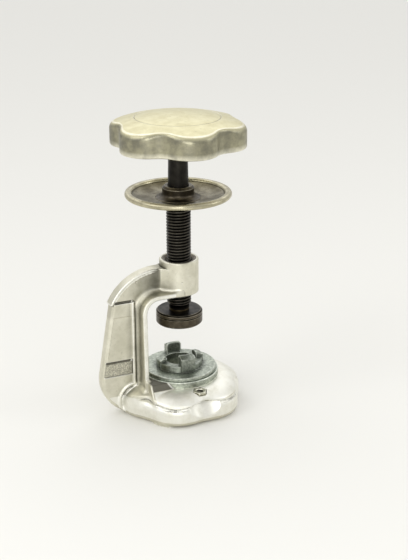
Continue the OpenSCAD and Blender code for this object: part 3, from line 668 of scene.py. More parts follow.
@dataclass(frozen=True)
class LobedOutline:
    """Lobe arcs and notch arcs that run into each other without a corner.

    Attributes:
        lobe_r: Distance of the lobes' tips from the axis.
        notch_r: Distance of the notches' floors from the axis.
        notch_round: Radius of the notch arcs.
        count: Number of lobes.
        turn: Turn of the first lobe from the X axis, in degrees.
    """

    lobe_r: float
    notch_r: float
    notch_round: float
    count: int
    turn: float

    def lobe_round(self) -> float:
        """Works out the radius of the lobe arcs, which touch the notch arcs.

        Returns:
            Radius in millimetres.
        """
        far, half = self.notch_r + self.notch_round, math.pi / self.count
        top = self.lobe_r ** 2 + far ** 2 - 2 * far * self.lobe_r * math.cos(half) - self.notch_round ** 2
        return top / (2 * (self.lobe_r - far * math.cos(half) + self.notch_round))

    def distance(self, x: np.ndarray, y: np.ndarray) -> np.ndarray:
        """Measures how far points lie outside the outline.

        Args:
            x: Places along X in millimetres.
            y: Places along Y in millimetres.

        Returns:
            Signed distances in millimetres, negative inside.
        """
        step = 2 * math.pi / self.count
        angle = np.arctan2(y, x) - math.radians(self.turn)
        folded = np.abs((angle + step / 2) % step - step / 2)
        r = np.hypot(x, y)
        px, py = r * np.cos(folded), r * np.sin(folded)
        round_r, notch = self.lobe_round(), self.notch_round
        mid, far = self.lobe_r - round_r, self.notch_r + notch
        bx, by = far * math.cos(step / 2), far * math.sin(step / 2)
        side = (bx - mid) * py - by * (px - mid)
        return np.where(side < 0, np.hypot(px - mid, py) - round_r, notch - np.hypot(px - bx, py - by))

    def ring(self, inset: float, lobe_steps: int = 22, notch_steps: int = 12) -> np.ndarray:
        """Traces the outline drawn in by an inset, always with the same number of points.

        Args:
            inset: Distance inward.
            lobe_steps: Spans on a lobe.
            notch_steps: Spans in a notch.

        Returns:
            Points of the closed ring.
        """
        round_r, notch, half = self.lobe_round(), self.notch_round, math.pi / self.count
        mid, far = self.lobe_r - round_r, self.notch_r + notch
        lean = math.atan2(far * math.sin(half), far * math.cos(half) - mid)
        points = []
        for i in range(self.count):
            base = math.radians(self.turn) + 2 * half * i
            for k in range(lobe_steps):
                t = -lean + 2 * lean * k / lobe_steps
                points.append((base, mid + (round_r - inset) * math.cos(t), (round_r - inset) * math.sin(t)))
            for k in range(notch_steps):
                t = math.pi + lean + (2 * half - 2 * lean) * k / notch_steps
                points.append((base, far * math.cos(half) + (notch + inset) * math.cos(t),
                               far * math.sin(half) + (notch + inset) * math.sin(t)))
        return np.array([(math.cos(b) * x - math.sin(b) * y, math.sin(b) * x + math.cos(b) * y)
                         for b, x, y in points])


@dataclass
class FieldMesher:
    """Meshes the zero level of a distance field with quads of one size.

    Attributes:
        low: Low corner of the space that is meshed.
        high: High corner of that space.
        cell: Size of the quads.
        edge_mm: How far from an edge it is marked as worn with painted highlight, and from a corner as dirty
            with painted shade.
        shade_reach_mm: How far from another wall a hollow is marked as dull, for painted shade.
        block: Cells along a block of the grid that is worked out at once.
    """

    low: Point3
    high: Point3
    cell: float
    edge_mm: float = 0.8
    shade_reach_mm: float = 9.0
    block: int = 16

    def sample(self, field: Field) -> np.ndarray:
        """Works the field out on the grid, finely only near the surface.

        Args:
            field: Distance field in millimetres.

        Returns:
            Distances at the grid's points.
        """
        low = np.array(self.low)
        counts = np.ceil((np.array(self.high) - low) / self.cell).astype(int) + 1
        axes = [low[i] + self.cell * np.arange(counts[i]) for i in range(3)]
        values = np.empty(counts, np.float32)
        # A block whose middle lies further off than this holds none of the surface.
        reach = 1.3 * self.block * self.cell + 1
        starts = [range(0, counts[i], self.block) for i in range(3)]
        for i in starts[0]:
            for j in starts[1]:
                for k in starts[2]:
                    spot = (slice(i, i + self.block), slice(j, j + self.block), slice(k, k + self.block))
                    parts = [axes[n][spot[n]] for n in range(3)]
                    middle = field(*(np.array([p.mean()]) for p in parts))[0]
                    if abs(middle) > reach:
                        values[spot] = middle
                    else:
                        values[spot] = field(*np.meshgrid(*parts, indexing="ij"))
        return values

    def slope(self, field: Field, points: np.ndarray, step: float = 0.04) -> np.ndarray:
        """Works out which way the field rises at points.

        Args:
            field: Distance field in millimetres.
            points: Points in millimetres.
            step: Step of the difference in millimetres.

        Returns:
            Unit outward directions, a row each.
        """
        x, y, z = points.T
        grad = np.stack([field(x + step, y, z) - field(x - step, y, z),
                         field(x, y + step, z) - field(x, y - step, z),
                         field(x, y, z + step) - field(x, y, z - step)], axis=1)
        return grad / np.maximum(np.linalg.norm(grad, axis=1, keepdims=True), 1e-9)

    def crossings(self, values: np.ndarray) -> tuple[np.ndarray, np.ndarray]:
        """Places one point in each cell that the surface crosses, at the mean of its crossings.

        Args:
            values: Distances at the grid's points.

        Returns:
            The points in millimetres, and for each cell its point's number, minus one if it has none.
        """
        inside = values < 0
        shape = np.array(values.shape) - 1
        total = np.zeros(shape, np.int8)
        corner = np.array([(a, b, c) for a in (0, 1) for b in (0, 1) for c in (0, 1)])
        for a, b, c in corner:
            total += inside[a:a + shape[0], b:b + shape[1], c:c + shape[2]]
        active = (total > 0) & (total < 8)
        cells = np.argwhere(active)
        value = np.stack([values[tuple((cells + offset).T)] for offset in corner], axis=1)
        place, count = np.zeros((len(cells), 3)), np.zeros(len(cells))
        for a in range(8):
            for b in range(a + 1, 8):
                if np.abs(corner[a] - corner[b]).sum() != 1:
                    continue
                change = (value[:, a] < 0) != (value[:, b] < 0)
                gap = np.where(change, value[:, a] - value[:, b], 1)
                share = np.where(change, value[:, a] / gap, 0)[:, None]
                place += change[:, None] * (corner[a] + share * (corner[b] - corner[a]))
                count += change
        points = np.array(self.low) + self.cell * (cells + place / count[:, None])
        number = np.full(shape, -1, np.int32)
        number[active] = np.arange(len(cells))
        return points, number

    def quads(self, inside: np.ndarray, number: np.ndarray) -> np.ndarray:
        """Lays one quad round each grid edge that the surface crosses.

        Args:
            inside: Whether each of the grid's points lies inside.
            number: Number of each cell's point.

        Returns:
            Four point numbers of each quad, counter-clockwise from outside.
        """
        rings = []
        for axis in range(3):
            b, c = (axis + 1) % 3, (axis + 2) % 3
            near, far = [slice(1, -1)] * 3, [slice(1, -1)] * 3
            near[axis], far[axis] = slice(0, -1), slice(1, None)
            first = inside[tuple(near)]
            spot = np.argwhere(first != inside[tuple(far)])
            outward = first[tuple(spot.T)]
            spot[:, b] += 1
            spot[:, c] += 1
            ring = []
            for db, dc in ((-1, -1), (0, -1), (0, 0), (-1, 0)):
                cell = spot.copy()
                cell[:, b] += db
                cell[:, c] += dc
                ring.append(number[tuple(cell.T)])
            ring = np.stack(ring, axis=1)
            ring[~outward] = ring[~outward][:, ::-1]
            rings.append(ring)
        return np.concatenate(rings)

    def mesh(self, name: str, field: Field) -> bpy.types.Object:
        """Builds the surface.

        Args:
            name: Name of the piece.
            field: Distance field in millimetres, negative inside.

        Returns:
            The new piece, with wear and crease marks.
        """
        values = self.sample(field)
        points, number = self.crossings(values)
        faces = self.quads(values < 0, number)
        # The points slide onto the surface, because the mean of the crossings lies a little off it.
        for _ in range(3):
            off = np.clip(field(*points.T), -self.cell, self.cell)[:, None]
            points = points - off * self.slope(field, points)
        return self.finish(name, field, points, faces)

    def finish(self, name: str, field: Field, points: np.ndarray, faces: np.ndarray) -> bpy.types.Object:
        """Turns points and quads into a piece with the field's own normals, edge marks and painted shade in
        hollows.

        Args:
            name: Name of the piece.
            field: Distance field in millimetres.
            points: Points in millimetres.
            faces: Four point numbers of each quad.

        Returns:
            The new piece.
        """
        mesh = bpy.data.meshes.new(name)
        mesh.vertices.add(len(points))
        mesh.vertices.foreach_set("co", (points * MM).ravel())
        mesh.loops.add(faces.size)
        mesh.loops.foreach_set("vertex_index", faces.ravel())
        mesh.polygons.add(len(faces))
        mesh.polygons.foreach_set("loop_start", np.arange(0, faces.size, 4, dtype=np.int32))
        mesh.update(calc_edges=True)
        mesh.validate()
        mesh.shade_smooth()
        normal = self.slope(field, points)
        mesh.normals_split_custom_set_from_vertices([tuple(n) for n in normal])
        # Bulging edges are marked as worn with painted highlight, creases as dirty with painted shade, and
        # hollows as dull for painted shade.
        reaches = (("wear_and_highlight", -1, self.edge_mm), ("crease_dirt_and_shade", 1, self.edge_mm), ("dull", 1, self.shade_reach_mm))
        for attribute, sign, depth in reaches:
            there = points + sign * depth * normal
            values = np.clip(1 - sign * field(*there.T) / depth, 0, 1).astype(np.float32)
            mesh.attributes.new(attribute, "FLOAT", "POINT").data.foreach_set("value", values)
        return add_object(name, mesh)


# Sub-assemblies


@dataclass
class CastFrame:
    """The cast frame: lobed foot, flanged column, arm and boss.

    Belly, arc and panel_bend hold the X and Z of an arc's middle and its radius. Inset and patch hold
    their low and high Z and how deep they are sunk. Space holds the corners of the meshed space, and
    pad_lean how far the pad's side falls and how far it runs out. A start or an end is a place along X,
    and a run is the length of a change that begins there.
    """

    cell: float = 0.5
    space: tuple[Point3, Point3] = ((-58.5, -44.5, -1.5), (44.5, 44.5, 105.5))
    rim: LobedOutline = LobedOutline(40.9, 37.2, 8.2, 6, LOBE_TURN)
    skirt: LobedOutline = LobedOutline(42.3, 39.2, 68.0, 6, LOBE_TURN)
    top_z: float = FOOT_TOP
    flat_r: float = 26.0
    roll_r: float = 20.5
    plate_low: float = 8.0
    skirt_h: float = 14.4
    skirt_round: float = 5.0
    skirt_blend: float = 3.0
    rim_line: float = 0.45
    rim_line_start: float = -36.0
    rim_line_run: float = 6.0
    scoop_r: float = 20.0
    scoop_in: float = 35.6
    scoop_z: float = 16.5
    scoop_lean: float = 30.0
    scoop_stop: float = 1.3
    foot_wall: float = 4.0
    hollow_h: float = 12.5
    post_r: float = 15.0
    inner_x: float = -27.5
    column_low: float = 10.0
    flange_t: float = 3.2
    flange_low: float = 15.1
    flange_high: float = 12.9
    web_half: float = 3.5
    web_fillet: float = 4.0
    corner_r: float = 9.0
    corner_z: float = 71.8
    arm_end: float = -2.0
    belly: tuple[float, float, float] = (-31.0, 25.8, 25.785)
    lean: float = 9.5
    arc: tuple[float, float, float] = (-16.0, 62.8, 36.8)
    arc_low: float = 74.0
    lip_w: float = 1.7
    lip_h: float = 0.5
    lip_end: float = -9.0
    lip_wear_and_highlight_end: float = -16.0
    lip_wear_and_highlight_run: float = 8.0
    arm_shade_start: float = -42.0
    arm_shade_run: float = 24.0
    panel_h: float = 0.7
    panel_x: float = -34.1
    panel_top: float = 79.4
    panel_bend: tuple[float, float, float] = (-33.0, 9.5, 12.1)
    ridge_r: float = 1.3
    ridge_h: float = 0.7
    back_round: float = 2.8
    inset: tuple[float, float, float] = (41.0, 69.6, 0.12)
    patch: tuple[float, float, float] = (28.7, 38.2, 0.4)
    boss_r: float = 12.9
    boss_low: float = 80.8
    boss_top: float = 103.7
    boss_fillet: float = 6.0
    boss_fillet_start: float = -24.0
    bush_r: float = BUSH_R
    bore_wall: float = 1.4
    bore_low: float = 60.0
    seat_r: float = SEAT_R
    pad_half: float = 24.5
    pad_foot: float = 18.0
    pad_lean: Point2 = (7.3, 4.2)
    pad_top: float = SEAT_TOP
    pad_back: float = -29.1
    line_r: float = 0.75
    nut_gap: float = 0.25
    nut_post_r: float = 6.0
    nut_hole_r: float = 2.75
    nut_hole_top: float = 18.0
    screw_count: int = 3
    screw_turn: float = 60.0
    screw_circle_r: float = 18.5
    screw_hole_r: float = 1.6
    pits: tuple[Point3, ...] = ((-3.2, -12.9, 90.4), (-31.3, -3.6, 92.3))
    pit_r: float = 0.75

    def foot(self, x: np.ndarray, y: np.ndarray, z: np.ndarray) -> np.ndarray:
        """Works out the field of the foot: domed plate with a rim over a bulging skirt.

        Args:
            x: Places along X in millimetres.
            y: Places along Y in millimetres.
            z: Heights in millimetres.

        Returns:
            Signed distances in millimetres, negative inside.
        """
        r = np.hypot(x, y)
        dome_z = self.top_z - self.roll_r
        dome = np.hypot(np.maximum(r - self.flat_r, 0), np.maximum(z - dome_z, 0)) - self.roll_r
        outline = self.rim.distance(x, y)
        # Nothing at the column and one away from it, where the rim's line begins.
        away = np.clip((x - self.rim_line_start) / self.rim_line_run, 0, 1)
        plate = round_cut(round_cut(outline, dome, 1.0), self.plate_low - z, 0.5)
        bulge = round_cut(self.skirt.distance(x, y), np.maximum(-z, z - self.skirt_h), self.skirt_round)
        bulge = np.maximum(bulge, -z)
        foot = round_join(plate, bulge, self.skirt_blend - 2.6 * away)
        # A leaning round scoop under the rim in each notch, apart from the one at the column.
        step = 2 * math.pi / self.rim.count
        angle = np.arctan2(y, x) - math.radians(self.rim.turn)
        turned = angle % step - step / 2
        sector = np.floor((angle % (2 * math.pi)) / step)
        u, v = r * np.cos(turned), r * np.sin(turned)
        s, c = math.sin(math.radians(self.scoop_lean)), math.cos(math.radians(self.scoop_lean))
        du, dz = u - self.scoop_in - self.scoop_r, z - self.scoop_z
        along = du * s - dz * c
        scoop = np.sqrt(np.maximum(du ** 2 + dz ** 2 + v ** 2 - along ** 2, 0)) - self.scoop_r
        scoop = round_cut(scoop, dome + self.scoop_stop, 0.3)
        at_column, far_off = 3, 9.0
        scoop = np.where(sector == at_column, far_off, scoop)
        foot = round_cut(foot, -scoop, 0.5)
        line = np.hypot(outline + 0.1, dome + 1.5) - self.rim_line * away
        return np.maximum(foot, -line)

    def underside(self, x: np.ndarray, y: np.ndarray, z: np.ndarray) -> np.ndarray:
        """Works out the field of the hollow under the foot, with its posts left standing.

        Args:
            x: Places along X in millimetres.
            y: Places along Y in millimetres.
            z: Heights in millimetres.

        Returns:
            Signed distances in millimetres, negative inside.
        """
        hollow = round_cut(self.rim.distance(x, y) + self.foot_wall, z - self.hollow_h, 2.0)
        hollow = round_cut(hollow, self.inner_x - x, 1.5)
        hollow = round_cut(hollow, self.post_r - np.hypot(x, y), 1.0)
        return round_cut(hollow, self.nut_post_r - np.hypot(x - NUT_AT[0], y - NUT_AT[1]), 0.8)

    def bridge(self, x: np.ndarray, y: np.ndarray, z: np.ndarray) -> np.ndarray:
        """Works out the field of the low pad between column and die seat.

        Args:
            x: Places along X in millimetres.
            y: Places along Y in millimetres.
            z: Heights in millimetres.

        Returns:
            Signed distances in millimetres, negative inside.
        """
        fall, run = self.pad_lean
        side = ((np.abs(y) - self.pad_half) * fall + (z - self.pad_foot) * run) / math.hypot(fall, run)
        pad = round_cut(side, z - self.pad_top, 0.7)
        pad = round_cut(pad, np.maximum(self.pad_back - x, x), 0.5)
        pad = np.maximum(pad, self.rim.distance(x, y))
        return round_cut(pad, -np.maximum(np.hypot(x, y) - self.seat_r - 0.1, self.top_z - z), 0.3)

    def outer_edge(self, x: np.ndarray, z: np.ndarray) -> tuple[np.ndarray, np.ndarray]:
        """Measures how far a point lies outside the column's outer edge.

        Args:
            x: Distance along the column's plane.
            z: Height.

        Returns:
            Distance from the whole edge, and from the arm's arc alone.
        """
        bx, bz, br = self.belly
        c, s = math.cos(math.radians(self.lean)), math.sin(math.radians(self.lean))
        leaning = -(x - bx) * c + (z - bz) * s - br
        outer = np.where((x - bx) * s + (z - bz) * c > 0, leaning, np.hypot(x - bx, z - bz) - br)
        ax, az, ar = self.arc
        arc = np.hypot(x - ax, z - az) - ar
        return np.maximum(outer, np.where(z > self.arc_low, arc, -5)), arc

    def depth(self, x: np.ndarray, z: np.ndarray) -> np.ndarray:
        """Measures how deep points lie behind the inner face of column and arm.

        Args:
            x: Places along X in millimetres.
            z: Heights in millimetres.

        Returns:
            Depths in millimetres, negative in the throat.
        """
        cx = self.inner_x + self.corner_r
        bend = np.hypot(x - cx, z - self.corner_z) - self.corner_r
        return np.where(z < self.corner_z, self.inner_x - x, np.where(x > cx, z - self.boss_low, bend))

    def flank(self, x: np.ndarray, side: np.ndarray, z: np.ndarray, outer: np.ndarray) -> np.ndarray:
        """Works out the field of the smooth panel on the column's sides, with its rough patch.

        Args:
            x: Places along X in millimetres.
            side: Distances from the column's middle plane.
            z: Heights in millimetres.
            outer: Distances outside the column's outer edge.

        Returns:
            Signed distances in millimetres, negative inside.
        """
        bx, bz, br = self.panel_bend
        inward = np.maximum(x - self.panel_x, br - np.hypot(x - bx, z - bz))
        face = side - self.web_half - self.panel_h
        panel = round_cut(round_cut(outer, face, self.back_round), inward, 1.6)
        bead = np.hypot(inward + 0.1, face + self.ridge_r - self.ridge_h) - self.ridge_r
        panel = round_join(panel, np.maximum(bead, outer + 1.0), 0.5)
        panel = round_cut(panel, z - self.panel_top, 0.3)
        low, high, sunk = self.inset
        inset = np.maximum(band(z, low, high), np.maximum(outer + 2.6, inward + 1.4))
        panel = round_cut(panel, -round_cut(inset, -face - sunk, 0.1), 0.3)
        low, high, sunk = self.patch
        patch = np.maximum(band(z, low, high), np.maximum(outer + 1.3, inward + 1.3))
        return np.maximum(panel, -np.maximum(patch, -face - sunk))

    def flange_half(self, z: np.ndarray) -> np.ndarray:
        """Returns half the flange's width, which tapers up to the boss."""
        share = np.clip((z - self.top_z) / (self.boss_low - self.top_z), 0, 1)
        return self.flange_low + (self.flange_high - self.flange_low) * share

    def column(self, x: np.ndarray, y: np.ndarray, z: np.ndarray) -> np.ndarray:
        """Works out the field of column, arm and boss.

        Args:
            x: Places along X in millimetres.
            y: Places along Y in millimetres.
            z: Heights in millimetres.

        Returns:
            Signed distances in millimetres, negative inside.
        """
        side, r = np.abs(y), np.hypot(x, y)
        depth = self.depth(x, z)
        flange = round_cut(np.abs(depth - self.flange_t / 2) - self.flange_t / 2,
                           side - self.flange_half(z), 1.0)
        flange = np.maximum(flange, np.maximum(x - self.arm_end, self.column_low - z))
        outer, arc = self.outer_edge(x, z)
        outline = np.maximum(np.maximum(outer, 1 - depth), x - self.arm_end)
        web = round_cut(outline, side - self.web_half, 1.2)
        lip = round_cut(np.maximum(arc, -self.lip_w - arc), side - self.web_half - self.lip_h, 0.45)
        lip = np.maximum(lip, np.maximum(self.panel_top - 1 - z, x - self.lip_end))
        flank = self.flank(x, side, z, outer)
        inward = x - self.panel_x
        # Dark grooves across the column over its panel and over its patch: height, depth of face, end.
        grooves = ((self.panel_top + 0.3, 0.3, 0.6), (self.patch[1] + 0.5, self.panel_h - 0.1, 2.2))
        for height, level, end in grooves:
            line = np.hypot(z - height, side - self.web_half - level) - self.line_r
            line = np.maximum(line, np.maximum(outer + 1.5, inward + end))
            flank, web = np.maximum(flank, -line), np.maximum(web, -line)
        boss = round_cut(r - self.boss_r, z - self.boss_top, 0.9)
        boss = round_cut(boss, self.boss_low - z, 0.6)
        plan = round_join(side - self.web_half, r - self.boss_r, self.boss_fillet)
        ends = np.maximum(self.boss_fillet_start - x, self.boss_low + 1 - z)
        fillet = np.maximum(round_cut(plan, outline, 1.0), ends)
        section = round_join(web, flange, self.web_fillet)
        both = np.minimum(np.minimum(section, round_join(fillet, flange, 2.5)), np.minimum(boss, lip))
        return np.minimum(both, round_join(flank, flange, 3.2))

    def rough_patch(self, points: np.ndarray, normals: np.ndarray) -> np.ndarray:
        """Tells which points lie on the rough patches in the column's sides.

        Args:
            points: Points of the casting in millimetres.
            normals: Their normals.

        Returns:
            One inside a patch, falling to nothing at its border.
        """
        x, y, z = points.T
        low, high, sunk = self.patch
        outer, _ = self.outer_edge(x, z)
        region = np.maximum(band(z, low, high), np.maximum(outer + 1.5, x - self.panel_x + 1.5))
        flat = np.abs(np.abs(y) - self.web_half - self.panel_h + sunk) < 0.15
        return np.clip(-region / 0.5, 0, 1) * flat * (np.abs(normals[:, 1]) > 0.8)

    def arm_painted_shade(self, points: np.ndarray, normals: np.ndarray) -> np.ndarray:
        """Tells how much painted shade the arm's flat sides get: most against the boss.

        Args:
            points: Points of the casting in millimetres.
            normals: Their normals.

        Returns:
            Nothing at the arm's bend, rising to one at the boss.
        """
        x, y, z = points.T
        near = np.clip((x - self.arm_shade_start) / self.arm_shade_run, 0, 1) ** 1.3
        flat = np.clip((np.abs(normals[:, 1]) - 0.75) / 0.2, 0, 1)
        return near * flat * (z > self.panel_top) * (np.abs(y) < self.web_half + 1.0)

    def bridge_and_groove_shade(self, points: np.ndarray, normals: np.ndarray) -> np.ndarray:
        """Tells where painted shade goes: a painted shadow on the bridge under the die seat, and painted
        shade in the grooves across the column.

        Args:
            points: Points of the casting in millimetres.
            normals: Their normals.

        Returns:
            One in those places, nothing elsewhere.
        """
        x, y, z = points.T
        bridge = (z > self.top_z + 0.4) * (z < self.pad_top + 0.3) * (x > self.inner_x - 0.5) * (x < 0)
        bridge = bridge * (np.abs(normals[:, 0]) < 0.9)
        outer, _ = self.outer_edge(x, z)
        shut = (outer < -1.2) * (x < self.panel_x + 0.6) * (np.abs(y) < self.web_half + 1.2)
        groove = np.minimum(np.abs(z - self.panel_top - 0.3), np.abs(z - self.patch[1] - 0.5)) < self.line_r
        return 0.75 * bridge + 1.0 * groove * shut

    def rub_and_highlight(self, points: np.ndarray, normals: np.ndarray) -> np.ndarray:
        """Tells where the skin is made bright: worn flange edges, lip and ridge with painted highlights, and
        painted highlights on the skirt and foot top.

        Args:
            points: Points of the casting in millimetres.
            normals: Their normals.

        Returns:
            One on the worn and highlighted edges, less on the skirt and the foot's top, nothing elsewhere.
        """
        x, y, z = points.T
        side, out = np.abs(y), np.abs(normals[:, 1])
        half = self.flange_half(z)
        edge = (side > half - 0.5) * (side < half + 0.1) * (out > 0.8)
        edge = edge * (np.hypot(x, y) > self.boss_r + 2)
        _, arc = self.outer_edge(x, z)
        lip = (np.abs(arc + self.lip_w / 2) < self.lip_w) * (out > 0.6) * (z > self.panel_top)
        lip = lip * np.clip((self.lip_wear_and_highlight_end - x) / self.lip_wear_and_highlight_run, 0, 1)
        # Painted highlight on the foot's upward faces.
        top = 0.7 * (z < self.top_z + 0.2) * (z > 15) * (normals[:, 2] > 0.4) * (x > self.inner_x)
        ridge = np.abs(side - self.web_half - self.panel_h - self.ridge_h) < 0.25
        ridge = ridge * (x < self.panel_x + 1.5)
        # Painted highlight on the skirt.
        skirt = 0.8 * (z < 14) * (normals[:, 2] > -0.2)
        return np.maximum.reduce([edge, lip, ridge, skirt, top]) * (z > 1.0)

    def field(self, x: np.ndarray, y: np.ndarray, z: np.ndarray) -> np.ndarray:
        """Works out the field of the whole casting.

        Args:
            x: Places along X in millimetres.
            y: Places along Y in millimetres.
            z: Heights in millimetres.

        Returns:
            Signed distances in millimetres, negative inside.
        """
        foot = round_join(self.foot(x, y, z), self.bridge(x, y, z), 0.6)
        body = round_join(foot, self.column(x, y, z), 2.6)
        body = np.maximum(body, -z)
        body = round_cut(body, -self.underside(x, y, z), 0.5)
        r = np.hypot(x, y)
        body = np.maximum(body, -(np.maximum(r - self.bush_r + self.bore_wall, self.bore_low - z)))
        body = round_cut(body, -np.maximum(r - self.bush_r - 0.05, self.boss_low + 1.5 - z), 0.2)
        dx, dy = x - NUT_AT[0], y - NUT_AT[1]
        c, s = math.cos(math.radians(LOBE_TURN)), math.sin(math.radians(LOBE_TURN))
        px, py = dx * c + dy * s, dy * c - dx * s
        hexagon = np.maximum(np.abs(py), np.abs(px) * math.sin(math.pi / 3) + np.abs(py) / 2)
        body = round_cut(body, -np.maximum(hexagon - NUT_FLATS / 2 - self.nut_gap, NUT_LOW - z), 0.25)
        hole = np.maximum(np.hypot(px, py) - self.nut_hole_r, z - self.nut_hole_top)
        body = np.maximum(body, -hole)
        for i in range(self.screw_count):
            a = math.radians(self.screw_turn + 360 / self.screw_count * i)
            hole = np.hypot(x - self.screw_circle_r * math.cos(a), y - self.screw_circle_r * math.sin(a))
            body = np.maximum(body, -np.maximum(hole - self.screw_hole_r, z - self.top_z))
        for pit_x, pit_y, pit_z in self.pits:
            pit = np.sqrt((x - pit_x) ** 2 + (y - pit_y) ** 2 + (z - pit_z) ** 2) - self.pit_r
            body = np.maximum(body, -pit)
        return body

    def build(self, finisher: Finisher) -> None:
        """Builds the casting, marks its rough patches, worn edges, painted highlights and painted shade, and
        dresses it.

        Args:
            finisher: Dresses the pieces and says what they ride on.
        """
        mesher = FieldMesher(*self.space, self.cell)
        piece = mesher.mesh("cast_frame", self.field)
        mark(piece, "rough", self.rough_patch)
        # Painted shade on the arm's flat sides, darkest against the boss.
        mark(piece, "dull", self.arm_painted_shade)
        # Painted shadow on the bridge under the die seat, painted shade in the grooves.
        mark(piece, "crease_dirt_and_shade", self.bridge_and_groove_shade)
        # More painted shade on the arm's sides near the boss, through the crease mark.
        mark(piece, "crease_dirt_and_shade", lambda points, normals: 0.45 * self.arm_painted_shade(points, normals) ** 2)
        # Worn edges with painted highlights, and painted highlights on the foot's top and skirt.
        mark(piece, "wear_and_highlight", self.rub_and_highlight)
        finisher.place(piece, Slot.CASTING, Body.FRAME, "frame_casting")


@dataclass
class FootFittings:
    """The nut in the foot's top and the cap screws that hold the die seat from below."""

    middle: tuple[float, float] = NUT_AT
    turn: float = LOBE_TURN
    low_z: float = NUT_LOW
    top_z: float = 20.72
    flats: float = NUT_FLATS
    hole_r: float = 2.1

    def nut(self) -> bpy.types.Object:
        """Builds the hexagon nut: corners turned back by a cone, countersunk threaded hole.

        Returns:
            The new piece.
        """
        count = 72
        angle = 2 * np.pi * np.arange(count) / count
        flat = np.abs((angle + math.pi / 6) % (math.pi / 3) - math.pi / 6)
        hexagon = self.flats / 2 / np.cos(flat)
        height = self.top_z - self.low_z

        def ring(radius: np.ndarray | float, z: np.ndarray | float) -> np.ndarray:
            """Places a ring of the nut at a height above its foot.

            Args:
                radius: One radius, or one for each point.
                z: One height, or one for each point.

            Returns:
                Points of the ring.
            """
            spin = angle + math.radians(self.turn + 30)
            r = np.broadcast_to(radius, angle.shape)
            return np.column_stack((self.middle[0] + r * np.cos(spin), self.middle[1] + r * np.sin(spin),
                                    self.low_z + np.broadcast_to(z, angle.shape)))

        shoulder = height - 0.1 - (hexagon - self.flats / 2) * 0.62
        top_r = self.flats / 2 - 0.25
        rings = [ring(self.hole_r, 0), ring(hexagon - 0.2, 0), ring(hexagon, 0.2),
                 ring(hexagon, shoulder - 0.3), ring(hexagon - 0.02, shoulder),
                 ring(top_r + 0.2, height - 0.1), ring(top_r, height), ring(top_r - 0.2, height),
                 ring(self.hole_r + 0.85, height), ring(self.hole_r + 0.65, height - 0.05)]
        # The hole's thread is drawn as plain rings, because its lead is too small to show.
        steps, depth, drop = 13, 0.3, 0.25
        rings += [ring(self.hole_r + depth * (k % 2), height - 0.7 - drop * k) for k in range(steps)]
        return loft("bench_nut_hexagon", rings, True, 0.3)

    def build(self, finisher: Finisher) -> None:
        """Builds the nut and dresses the screws."""
        finisher.place(self.nut(), Slot.FASTENER, Body.FRAME, "bench_nut")
        finisher.dress_node("seat_screws", Slot.FASTENER)


